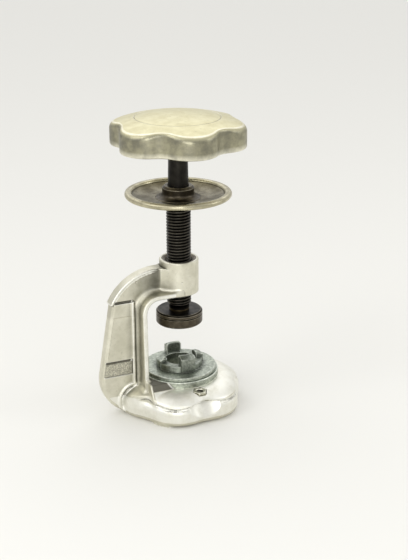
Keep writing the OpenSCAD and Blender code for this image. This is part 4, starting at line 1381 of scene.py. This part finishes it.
@dataclass
class DieStation:
    """The seat ring on the foot and the die with its four jaws.

    Tall and low hold a jaw's width and the height of its top. Pin holds the locating hole's distance
    from the axis and its angle, and space the corners of the space in which the die is meshed.
    """

    cell: float = 0.3
    space: tuple[Point3, Point3] = ((-26.0, -26.0, 20.5), (26.0, 26.0, 40.0))
    seat_r: float = SEAT_R
    seat_in: float = 12.05
    seat_low: float = FOOT_TOP
    seat_top: float = SEAT_TOP
    die_r: float = 24.4
    flange_top: float = 27.8
    crown_r: float = 15.4
    crown_top: float = 31.7
    bore_r: float = 9.6
    spigot_r: float = 12.0
    jaw_in: float = 10.8
    jaw_out: float = 16.0
    tall: tuple[float, float] = (10.2, 38.9)
    low: tuple[float, float] = (7.0, 35.1)
    pin: tuple[float, float] = (18.8, 39.0)
    pin_hole_r: float = 1.55
    spigot_low: float = 21.3

    def seat(self) -> bpy.types.Object:
        """Builds the seat ring with its broken edges.

        Returns:
            The new piece.
        """
        corners = [(self.seat_in, self.seat_low, 0.0), (self.seat_r, self.seat_low, 0.15),
                   (self.seat_r, self.seat_top, 0.35), (self.seat_in, self.seat_top, 0.3)]
        return lathe("seat_ring", soften(corners), 160)

    def jaw(self, along: np.ndarray, across: np.ndarray, z: np.ndarray, width: float,
            top: float) -> np.ndarray:
        """Works out the field of a pair of jaws on both sides of the axis.

        Args:
            along: Places along the line through both jaws.
            across: Places across it.
            z: Heights in millimetres.
            width: Width of a jaw.
            top: Height of the jaws' tops.

        Returns:
            Signed distances in millimetres, negative inside.
        """
        r = np.hypot(along, across)
        front = round_cut(np.abs(across) - width / 2, z - top, 1.4)
        slope = min(1.9, (top - self.crown_top) / 2)
        tilt = ((z - top) * 3.6 + (r - self.jaw_in - 1.6) * slope) / math.hypot(3.6, slope)
        shell = round_cut(np.maximum(r - self.jaw_out, self.jaw_in - r), np.maximum(front, tilt), 0.45)
        return np.maximum(shell, self.flange_top - 1 - z)

    def field(self, x: np.ndarray, y: np.ndarray, z: np.ndarray) -> np.ndarray:
        """Works out the field of the die.

        Args:
            x: Places along X in millimetres.
            y: Places along Y in millimetres.
            z: Heights in millimetres.

        Returns:
            Signed distances in millimetres, negative inside.
        """
        r = np.hypot(x, y)
        flange = round_cut(r - self.die_r, band(z, self.seat_top, self.flange_top), 0.45)
        share = np.clip((z - self.flange_top) / (self.crown_top - self.flange_top), 0, 1)
        crown = round_cut(r - self.crown_r + 0.5 * share, z - self.crown_top, 0.5)
        crown = np.maximum(crown, self.flange_top - 1 - z)
        spigot = np.maximum(r - self.spigot_r, band(z, self.spigot_low, self.flange_top - 1))
        die = np.minimum(round_join(flange, crown, 0.35), spigot)
        jaws = np.minimum(self.jaw(y, x, z, *self.tall), self.jaw(x, y, z, *self.low))
        die = round_join(die, jaws, 0.3)
        die = round_cut(die, self.bore_r - r, 0.4)
        dist, angle = self.pin[0], math.radians(self.pin[1])
        hole = np.hypot(x - dist * math.cos(angle), y - dist * math.sin(angle)) - self.pin_hole_r
        return round_cut(die, -hole, 0.15)

    def upright_shade(self, points: np.ndarray, normals: np.ndarray) -> np.ndarray:
        """Returns the painted shade on the crown and the jaws: most on their upright sides."""
        return np.maximum(0.55 - normals[:, 2], 0.3) * (points[:, 2] > self.flange_top + 0.3)

    def build(self, finisher: Finisher) -> None:
        """Builds the seat and the die and dresses the pin.

        Args:
            finisher: Dresses the pieces and says what they ride on.
        """
        finisher.place(self.seat(), Slot.GREY, Body.FRAME, "die_seat")
        finisher.dress_node("locating_pin", Slot.FASTENER)
        mesher = FieldMesher(*self.space, self.cell, shade_reach_mm=3.5)
        die = mesher.mesh("jawed_die", self.field)
        # Painted shade on the crown and the jaws, most on their upright sides.
        mark(die, "dull", self.upright_shade)
        finisher.place(die, Slot.GREY, Body.DIE, "case_die")


@dataclass
class ClampScrew:
    """The threaded bush in the boss and the hollow screw that runs in it."""

    low_z: float = 68.8
    thread_low: float = 72.0
    thread_top: float = THREAD_TOP
    top_z: float = 149.5
    crest_r: float = 8.0
    root_r: float = SCREW_ROOT_R
    bore_r: float = SPINDLE_R + RUNNING_FIT
    pitch: float = 2.0
    bush_r: float = BUSH_R
    bush_low: float = 82.3
    bush_top: float = 103.5
    washer_t: float = 0.8
    washers_z: tuple[tuple[str, float], ...] = (("lower", HOLDER_TOP), ("upper", COUNTERBORE_Z))

    def thread_ring(self, z: float, segments: int) -> np.ndarray:
        """Works out one ring of the thread: flat crest, sloping flanks, rounded root.

        Args:
            z: Height of the ring.
            segments: Number of steps round the axis.

        Returns:
            Points of the ring.
        """
        angle = 2 * np.pi * np.arange(segments) / segments
        # Right-handed, one turn a pitch: the root takes 0.17 of it, each flank 0.30 and the crest 0.23.
        phase = (z / self.pitch - angle / (2 * np.pi)) % 1.0
        flank = np.clip((0.5 - np.abs(phase - 0.5)) / 0.30 - 0.28, 0, 1)
        rise = flank * flank * (3 - 2 * flank)
        fade = np.clip(min(z - self.thread_low, self.thread_top - z) / 1.2, 0, 1)
        radius = self.root_r + (self.crest_r - self.root_r) * rise * fade
        return circle(radius, z, segments)

    def screw(self) -> bpy.types.Object:
        """Builds the hollow screw with its helical thread.

        Returns:
            The new piece.
        """
        segments, step = 96, self.pitch / 16
        root, low, top = self.root_r, self.low_z, self.top_z
        foot = ((self.bore_r, low), (root - 0.5, low), (root - 0.15, low + 0.15), (root, low + 0.5))
        head = ((root, top - 0.3), (root - 0.3, top), (self.bore_r, top))
        rings = [circle(radius, z, segments) for radius, z in foot]
        rings += [self.thread_ring(z, segments)
                  for z in np.arange(self.thread_low, self.thread_top + 0.01, step)]
        rings += [circle(radius, z, segments) for radius, z in head]
        return loft("clamp_screw_thread", rings, True, 0.35)

    def bush(self) -> bpy.types.Object:
        """Builds the bush: recessed face, countersunk mouth.

        Returns:
            The new piece.
        """
        bore_r = self.crest_r + RUNNING_FIT
        corners = [(bore_r, self.bush_low, 0.2), (self.bush_r, self.bush_low, 0.2),
                   (self.bush_r, self.bush_top, 0.25), (self.bush_r - 0.9, self.bush_top, 0.3),
                   (self.crest_r + 1.3, self.bush_top - 0.5, 0.5), (bore_r, self.bush_top - 1.6, 0.3)]
        return lathe("threaded_bush_face", soften(corners), 128)

    def washer(self, name: str, low_z: float) -> bpy.types.Object:
        """Builds a thrust washer with broken edges.

        Args:
            name: Name of the piece.
            low_z: Height of its lower face.

        Returns:
            The new piece.
        """
        inner, outer = self.bore_r, self.root_r
        corners = [(inner, low_z, 0.1), (outer, low_z, 0.2), (outer, low_z + self.washer_t, 0.2),
                   (inner, low_z + self.washer_t, 0.1)]
        return lathe(name, soften(corners, guard=0.1), 96)

    def build(self, finisher: Finisher) -> None:
        """Builds bush, screw and thrust washers.

        Args:
            finisher: Dresses the pieces and says what they ride on.
        """
        finisher.place(self.bush(), Slot.DARK, Body.FRAME, "threaded_bush")
        finisher.place(self.screw(), Slot.BLACK, Body.CLAMP, "clamp_screw")
        for which, low_z in self.washers_z:
            washer = self.washer(f"{which}_thrust_ring", low_z)
            finisher.place(washer, Slot.BRASS, Body.THRUST, f"{which}_thrust_washer")


@dataclass
class SaucerWheel:
    """The dished wheel with its hub, which two grub screws hold on the clamp screw."""

    hub_r: float = 10.3
    hub_top: float = 152.7
    bevel: float = 1.5
    flare_r: float = 14.7
    flare_h: float = 3.2
    bore_r: float = 8.05
    counter_r: float = 7.0
    counter_z: float = COUNTERBORE_Z
    neck_r: float = 7.9
    neck_low: float = THREAD_TOP
    dish_z: float = 144.7
    plate: float = 2.0
    bead_z: float = 147.1
    bead_r: float = 1.9
    bead_in: float = 31.5
    bead_out: float = 32.5
    root_r: float = 6.75

    def rise(self, r: float) -> float:
        """Returns how far the plate stands above its middle at a radius."""
        share = max(r - self.flare_r, 0) / (self.bead_out - self.flare_r)
        return (self.bead_z - self.dish_z + self.plate / 2) * share ** 2

    def dish(self) -> bpy.types.Object:
        """Builds the plate with its rolled bead: flat floor, steep inner wall, wide round edge.

        Returns:
            The new piece.
        """
        inner, floor_end = self.neck_r + 2.42, self.bead_in - self.bead_r - 0.35
        low_z = self.dish_z - self.plate
        profile = [(inner, low_z)]
        profile += [(float(r), low_z + self.rise(r)) for r in np.linspace(self.flare_r, self.bead_in, 12)]
        bead = [(self.bead_out, -90 + 15 * k) for k in range(13)]
        bead += [(self.bead_in, 90 + 10.5 * k) for k in range(9)]
        for middle, turn in bead:
            t = math.radians(turn)
            profile.append((middle + self.bead_r * math.cos(t), self.bead_z + self.bead_r * math.sin(t)))
        profile += [(float(r), self.dish_z + self.rise(r)) for r in np.linspace(floor_end, self.flare_r, 15)]
        profile.append((inner, self.dish_z))
        return lathe("saucer_dish", profile, 200)

    def hub(self) -> bpy.types.Object:
        """Builds the hub: neck, seat for the plate, concave flare and bevelled top.

        Returns:
            The new piece.
        """
        seat, foot = self.neck_r + 2.4, self.dish_z + 0.15
        low_z, lift = self.dish_z - self.plate, foot + self.flare_h + 0.4
        profile = soften([(self.neck_r, self.neck_low, 0.3), (self.neck_r, low_z, 0.0)], False)
        profile += [(seat, low_z), (seat, self.dish_z), (self.flare_r, self.dish_z), (self.flare_r, foot)]
        for k in range(1, 10):
            t = math.radians(90 * k / 9)
            profile.append((self.flare_r - (self.flare_r - self.hub_r) * math.sin(t),
                            foot + self.flare_h * (1 - math.cos(t))))
        corners = [(self.hub_r, lift, 0.0), (self.hub_r, self.hub_top - self.bevel, 0.35),
                   (self.hub_r - self.bevel, self.hub_top, 0.35), (self.counter_r, self.hub_top, 0.3),
                   (self.counter_r, self.counter_z, 0.0), (self.root_r, self.counter_z, 0.0)]
        profile += soften(corners, False)
        profile += [(self.root_r, self.neck_low)]
        return lathe("wheel_hub_turned", profile, 128)

    def build(self, finisher: Finisher) -> None:
        """Builds the wheel's plate and hub and dresses the grub screws.

        Args:
            finisher: Dresses the pieces and says what they ride on.
        """
        dish = self.dish()
        mark(dish, "dull", lambda points, _: (self.bead_in - 1.2 - np.hypot(*points.T[:2])) / 1.6)
        finisher.place(dish, Slot.NICKEL, Body.CLAMP, "wheel_dish")
        finisher.place(self.hub(), Slot.DARK, Body.CLAMP, "wheel_hub")
        finisher.dress_node("wheel_grub_screws", Slot.BLACK)


@dataclass
class SpindleHead:
    """The spindle inside the screw and the key head at its lower end.

    Shank_low, shank_top and spigot hold a radius and the height at which the spindle has it.
    """

    spindle_r: float = SPINDLE_R
    low_z: float = 65.2
    shank_low: tuple[float, float] = (SCREW_ROOT_R, 151.5)
    shank_top: tuple[float, float] = (6.1, KNOB_LOW)
    spigot: tuple[float, float] = (4.0, 193.7)
    holder_r: float = 15.4
    holder_low: float = 59.0
    holder_top: float = HOLDER_TOP
    groove_z: float = 65.0
    key_r: float = 12.83

    def spindle(self) -> bpy.types.Object:
        """Builds the spindle with its tapered shank and the spigot under the knob.

        Returns:
            The new piece.
        """
        corners = [(0.0, self.low_z, 0.0), (self.spindle_r, self.low_z, 0.2),
                   (self.spindle_r, self.shank_low[1], 0.0), (self.shank_low[0], self.shank_low[1], 0.25),
                   (self.shank_top[0], self.shank_top[1], 0.1), (self.spigot[0], self.shank_top[1], 0.0),
                   (self.spigot[0], self.spigot[1], 0.3), (0.0, self.spigot[1], 0.0)]
        return lathe("drive_spindle_shank", soften(corners, False), 96, False)

    def holder(self) -> bpy.types.Object:
        """Builds the key holder: grooved drum with broken edges.

        Returns:
            The new piece.
        """
        inner, r, groove = self.spindle_r + 0.03, self.holder_r, self.groove_z
        low, top = self.holder_low, self.holder_top
        corners = [(inner, self.low_z, 0.0), (self.key_r, self.low_z, 0.0), (self.key_r, low, 0.2),
                   (r - 0.8, low, 0.3), (r, low + 0.8, 0.3), (r, groove - 0.45, 0.15),
                   (r - 0.45, groove - 0.15, 0.1), (r - 0.45, groove + 0.15, 0.1), (r, groove + 0.45, 0.15),
                   (r, top - 1, 0.35), (r - 1, top, 0.35), (inner, top, 0.1)]
        return lathe("key_holder_drum", soften(corners, guard=0.12), 128)

    def build(self, finisher: Finisher) -> None:
        """Builds spindle and holder and dresses the key and its fasteners.

        Args:
            finisher: Dresses the pieces and says what they ride on.
        """
        finisher.place(self.spindle(), Slot.BLACK, Body.DRIVER, "drive_spindle")
        holder = self.holder()
        # Painted reflection: the holder's upward faces are darkened as if they mirrored the dark boss above.
        mark(holder, "dull", lambda _, normals: normals[:, 2] * 1.5)
        finisher.place(holder, Slot.DARK, Body.DRIVER, "key_holder")
        finisher.dress_node("case_key", Slot.GREY)
        for node in ("key_screw", "drive_pin"):
            finisher.dress_node(node, Slot.FASTENER)


@dataclass
class HandKnob:
    """The scalloped knob, its domed disc and the fasteners inside."""

    outline: LobedOutline = LobedOutline(43.9, 37.6, 13.5, 6, 24.0)
    low_z: float = KNOB_LOW
    edge: float = 1.2
    roll_lobe: float = 5.0
    roll_notch: float = 2.6
    dome_r: float = 140.0
    dome_z: float = 59.2
    cap_r: float = 27.3
    cap_low: float = 194.3
    pocket_r: float = 8.7
    pocket_z: float = 187.3
    hole_r: float = 4.03

    def dome(self, r: np.ndarray | float) -> np.ndarray | float:
        """Returns the height of the domed top at a radius."""
        return self.dome_z + np.sqrt(self.dome_r ** 2 - r ** 2)

    def knob(self) -> bpy.types.Object:
        """Builds the knob: lobed wall, rolled edge that runs into the dome, recess for the disc.

        Returns:
            The new piece.
        """
        wall = self.outline.ring(0.0)
        inward = self.outline.ring(1.0) - wall
        angle = np.arctan2(wall[:, 1], wall[:, 0])
        spoke = np.column_stack((np.cos(angle), np.sin(angle)))

        def flat(ring: np.ndarray, z: np.ndarray | float) -> np.ndarray:
            """Returns a plan ring set at a height."""
            return np.column_stack((ring, np.broadcast_to(z, len(ring))))

        rings = [flat(spoke * r, self.low_z) for r in (self.hole_r, 14, 28)]
        rings.append(flat(wall + inward * (self.edge + 0.4), self.low_z))
        for k in range(7):
            t = math.radians(15 * k)
            rings.append(flat(wall + inward * self.edge * (1 - math.sin(t)),
                              self.low_z + self.edge * (1 - math.cos(t))))
        share = (np.hypot(*wall.T) - self.outline.notch_r) / (self.outline.lobe_r - self.outline.notch_r)
        roll = (self.roll_notch + (self.roll_lobe - self.roll_notch) * share ** 0.7)[:, None]
        middle = wall + inward * roll
        top = np.sqrt((self.dome_r - roll[:, 0]) ** 2 - (middle ** 2).sum(1))
        middle = flat(middle, self.dome_z + top)
        start = np.column_stack((-inward, np.zeros(len(wall))))
        end = (middle - (0, 0, self.dome_z)) / (self.dome_r - roll)
        swing = np.arccos(np.clip((start * end).sum(1), -1, 1))[:, None]
        low = self.low_z + self.edge
        for share_up in (0.3, 0.7):
            rings.append(flat(wall, low + (middle[:, 2] - low) * share_up))
        for k in range(11):
            t = k / 10
            lean = (np.sin((1 - t) * swing) * start + np.sin(t * swing) * end) / np.sin(swing)
            rings.append(middle + roll * lean)
        edge = rings[-1][:, :2]
        rim = spoke * (self.cap_r + 0.45)
        for k in range(1, 9):
            ring = edge + (rim - edge) * k / 8
            rings.append(flat(ring, self.dome(np.hypot(*ring.T))))
        lip = self.dome(self.cap_r)
        rings += [flat(spoke * (self.cap_r + 0.16), lip - 0.03), flat(spoke * (self.cap_r + 0.03), lip - 0.2),
                  flat(spoke * (self.cap_r + 0.03), self.cap_low), flat(spoke * self.pocket_r, self.cap_low),
                  flat(spoke * self.pocket_r, self.pocket_z), flat(spoke * self.hole_r, self.pocket_z)]
        return loft("scalloped_knob", rings, True, 0.15)

    def cap(self) -> bpy.types.Object:
        """Builds the plain disc let into the knob's top.

        Returns:
            The new piece.
        """
        lip = float(self.dome(self.cap_r))
        profile = [(0.0, self.cap_low), (self.cap_r - 0.3, self.cap_low), (self.cap_r, self.cap_low + 0.3),
                   (self.cap_r, lip - 0.3), (self.cap_r - 0.05, lip - 0.12), (self.cap_r - 0.2, lip - 0.01)]
        profile += [(float(r), float(self.dome(r))) for r in (26.7, 24, 20, 15, 10, 5, 2)]
        return lathe("knob_disc", profile + [(0.0, float(self.dome(0)))], 160, False, 0.05)

    def seam(self, points: np.ndarray, normals: np.ndarray) -> np.ndarray:
        """Returns the thin line of dirt where the disc meets the knob."""
        return (0.9 - np.abs(np.hypot(*points.T[:2]) - self.cap_r) / 0.5) * (normals[:, 2] > 0.3)

    def build(self, finisher: Finisher) -> None:
        """Builds knob and disc and dresses the fasteners inside.

        Args:
            finisher: Dresses the pieces and says what they ride on.
        """
        knob = self.knob()
        # Painted shade: the walls are darkened against the top.
        mark(knob, "dull", lambda _, normals: (0.78 - normals[:, 2]) / 0.42)
        # Painted highlight: a bright line along the upper part of the rolled edge.
        mark(knob, "wear_and_highlight", lambda _, normals: 0.95 - np.abs(normals[:, 2] - 0.84) / 0.12)
        # Painted highlight: the wall is brightened towards its lower edge.
        mark(knob, "wear_and_highlight", lambda points, _: 0.55 - (points[:, 2] - self.low_z) / 9)
        for piece, node in ((knob, "hand_knob"), (self.cap(), "knob_cap")):
            mark(piece, "crease_dirt_and_shade", self.seam)
            finisher.place(piece, Slot.KNOB, Body.DRIVER, node)
        for node in ("knob_key", "knob_washer", "knob_nut"):
            finisher.dress_node(node, Slot.FASTENER)


@dataclass
class Studio:
    """Pale floor, soft lamps, pale sky and the camera, in metres.

    A lamp holds its name, place, width and power in watts; the daylight its place, spread in degrees
    and strength. Camera_turn holds the camera's rotation in radians.
    """

    floor: str = "#e9e8e3"
    floor_half: float = 8.0
    sky_front: str = "#dededc"
    sky_back: str = "#f4f4f2"
    sky_high: str = "#ffffff"
    sky_strength: float = 0.77
    lamps: tuple[tuple[str, Point3, float, float], ...] = (
        ("left_lamp", (-0.95, -0.15, 0.85), 0.7, 3.0),
        ("right_lamp", (0.95, -0.45, 0.55), 0.5, 1.5),
        ("front_lamp", (-0.56, -1.07, 0.42), 0.5, 3.9))
    daylight: tuple[Point3, float, float] = ((0.15, 0.75, 1.25), 80.0, 0.75)
    target: Point3 = (0.0, 0.0, 0.09)
    camera_at: Point3 = (-0.26057693, -0.62570924, 0.3412)
    camera_turn: Point3 = (1.2130038738, 0.0, -0.4188790321)
    lens: float = 70.714

    def ground(self) -> None:
        """Lays the floor."""
        r = self.floor_half
        mesh = bpy.data.meshes.new("studio_floor")
        mesh.from_pydata([(-r, -r, 0), (r, -r, 0), (r, r, 0), (-r, r, 0)], [], [(0, 1, 2, 3)])
        # Matt paper: pale, with no gloss, so that only the soft shadow shows.
        material = bpy.data.materials.new("matt_paper")
        material.use_nodes = True
        shader = material.node_tree.nodes["Principled BSDF"]
        shader.inputs["Base Color"].default_value = linear(self.floor)
        shader.inputs["Roughness"].default_value = 0.9
        mesh.materials.append(material)
        add_object("studio_floor", mesh)

    def sky(self) -> None:
        """Sets a pale sky, whitest above and behind the object."""
        world = bpy.data.worlds.new("studio_sky")
        world.use_nodes = True
        tree = world.node_tree
        tree.nodes.clear()
        split = add_node(tree, "ShaderNodeSeparateXYZ", {
            0: add_node(tree, "ShaderNodeTexCoord").outputs["Generated"]})
        lift = add_node(tree, "ShaderNodeMapRange", {
            0: split.outputs[2], 1: 0.0, 2: 0.8, 3: 0.0, 4: 1.0}, interpolation_type="SMOOTHSTEP")
        back = add_node(tree, "ShaderNodeMapRange", {
            0: split.outputs[1], 1: -0.5, 2: 0.7, 3: 0.0, 4: 1.0}, interpolation_type="SMOOTHSTEP")
        low = add_node(tree, "ShaderNodeMix", {
            0: back.outputs[0], 6: linear(self.sky_front), 7: linear(self.sky_back)}, data_type="RGBA")
        tone = add_node(tree, "ShaderNodeMix", {
            0: lift.outputs[0], 6: low.outputs[2], 7: linear(self.sky_high)}, data_type="RGBA")
        glow = add_node(tree, "ShaderNodeBackground", {
            "Color": tone.outputs[2], "Strength": self.sky_strength})
        add_node(tree, "ShaderNodeOutputWorld", {0: glow.outputs[0]})
        bpy.context.scene.world = world

    def hang(self, data: bpy.types.Light, place: Point3) -> None:
        """Hangs a lamp, aimed at the object.

        Args:
            data: The lamp's settings, which carry its name.
            place: Where it hangs, in metres.
        """
        lamp = add_object(data.name, data)
        lamp.location = place
        lamp.rotation_euler = (Vector(self.target) - Vector(place)).to_track_quat("-Z", "Y").to_euler()

    def light(self) -> None:
        """Hangs the square lamps and the broad daylight."""
        for name, place, size, power in self.lamps:
            lamp = bpy.data.lights.new(name, "AREA")
            lamp.shape, lamp.size, lamp.energy = "SQUARE", size, power
            self.hang(lamp, place)
        place, spread, strength = self.daylight
        sun = bpy.data.lights.new("daylight", "SUN")
        sun.angle, sun.energy = math.radians(spread), strength
        self.hang(sun, place)

    def shoot(self) -> None:
        """Sets the camera up where the photo was taken from."""
        data = bpy.data.cameras.new("camera")
        data.sensor_fit, data.sensor_height, data.lens = "VERTICAL", 36.0, self.lens
        data.clip_end = 50.0
        camera = add_object("camera", data)
        camera.location, camera.rotation_euler = self.camera_at, self.camera_turn
        bpy.context.scene.camera = camera
        bpy.context.scene.view_settings.view_transform = "Standard"

    def build(self) -> None:
        """Builds the whole studio."""
        self.ground()
        self.sky()
        self.light()
        self.shoot()


def main() -> None:
    """Builds every sub-assembly in order, then the studio."""
    logging.basicConfig(level=logging.INFO, format="%(name)s: %(message)s")
    finisher = Finisher()
    for assembly in (CastFrame(), FootFittings(), DieStation(), ClampScrew(), SaucerWheel(), SpindleHead(),
                     HandKnob()):
        LOG.info("%s", type(assembly).__name__)
        assembly.build(finisher)
    Studio().build()


if __name__ == "__main__":
    main()
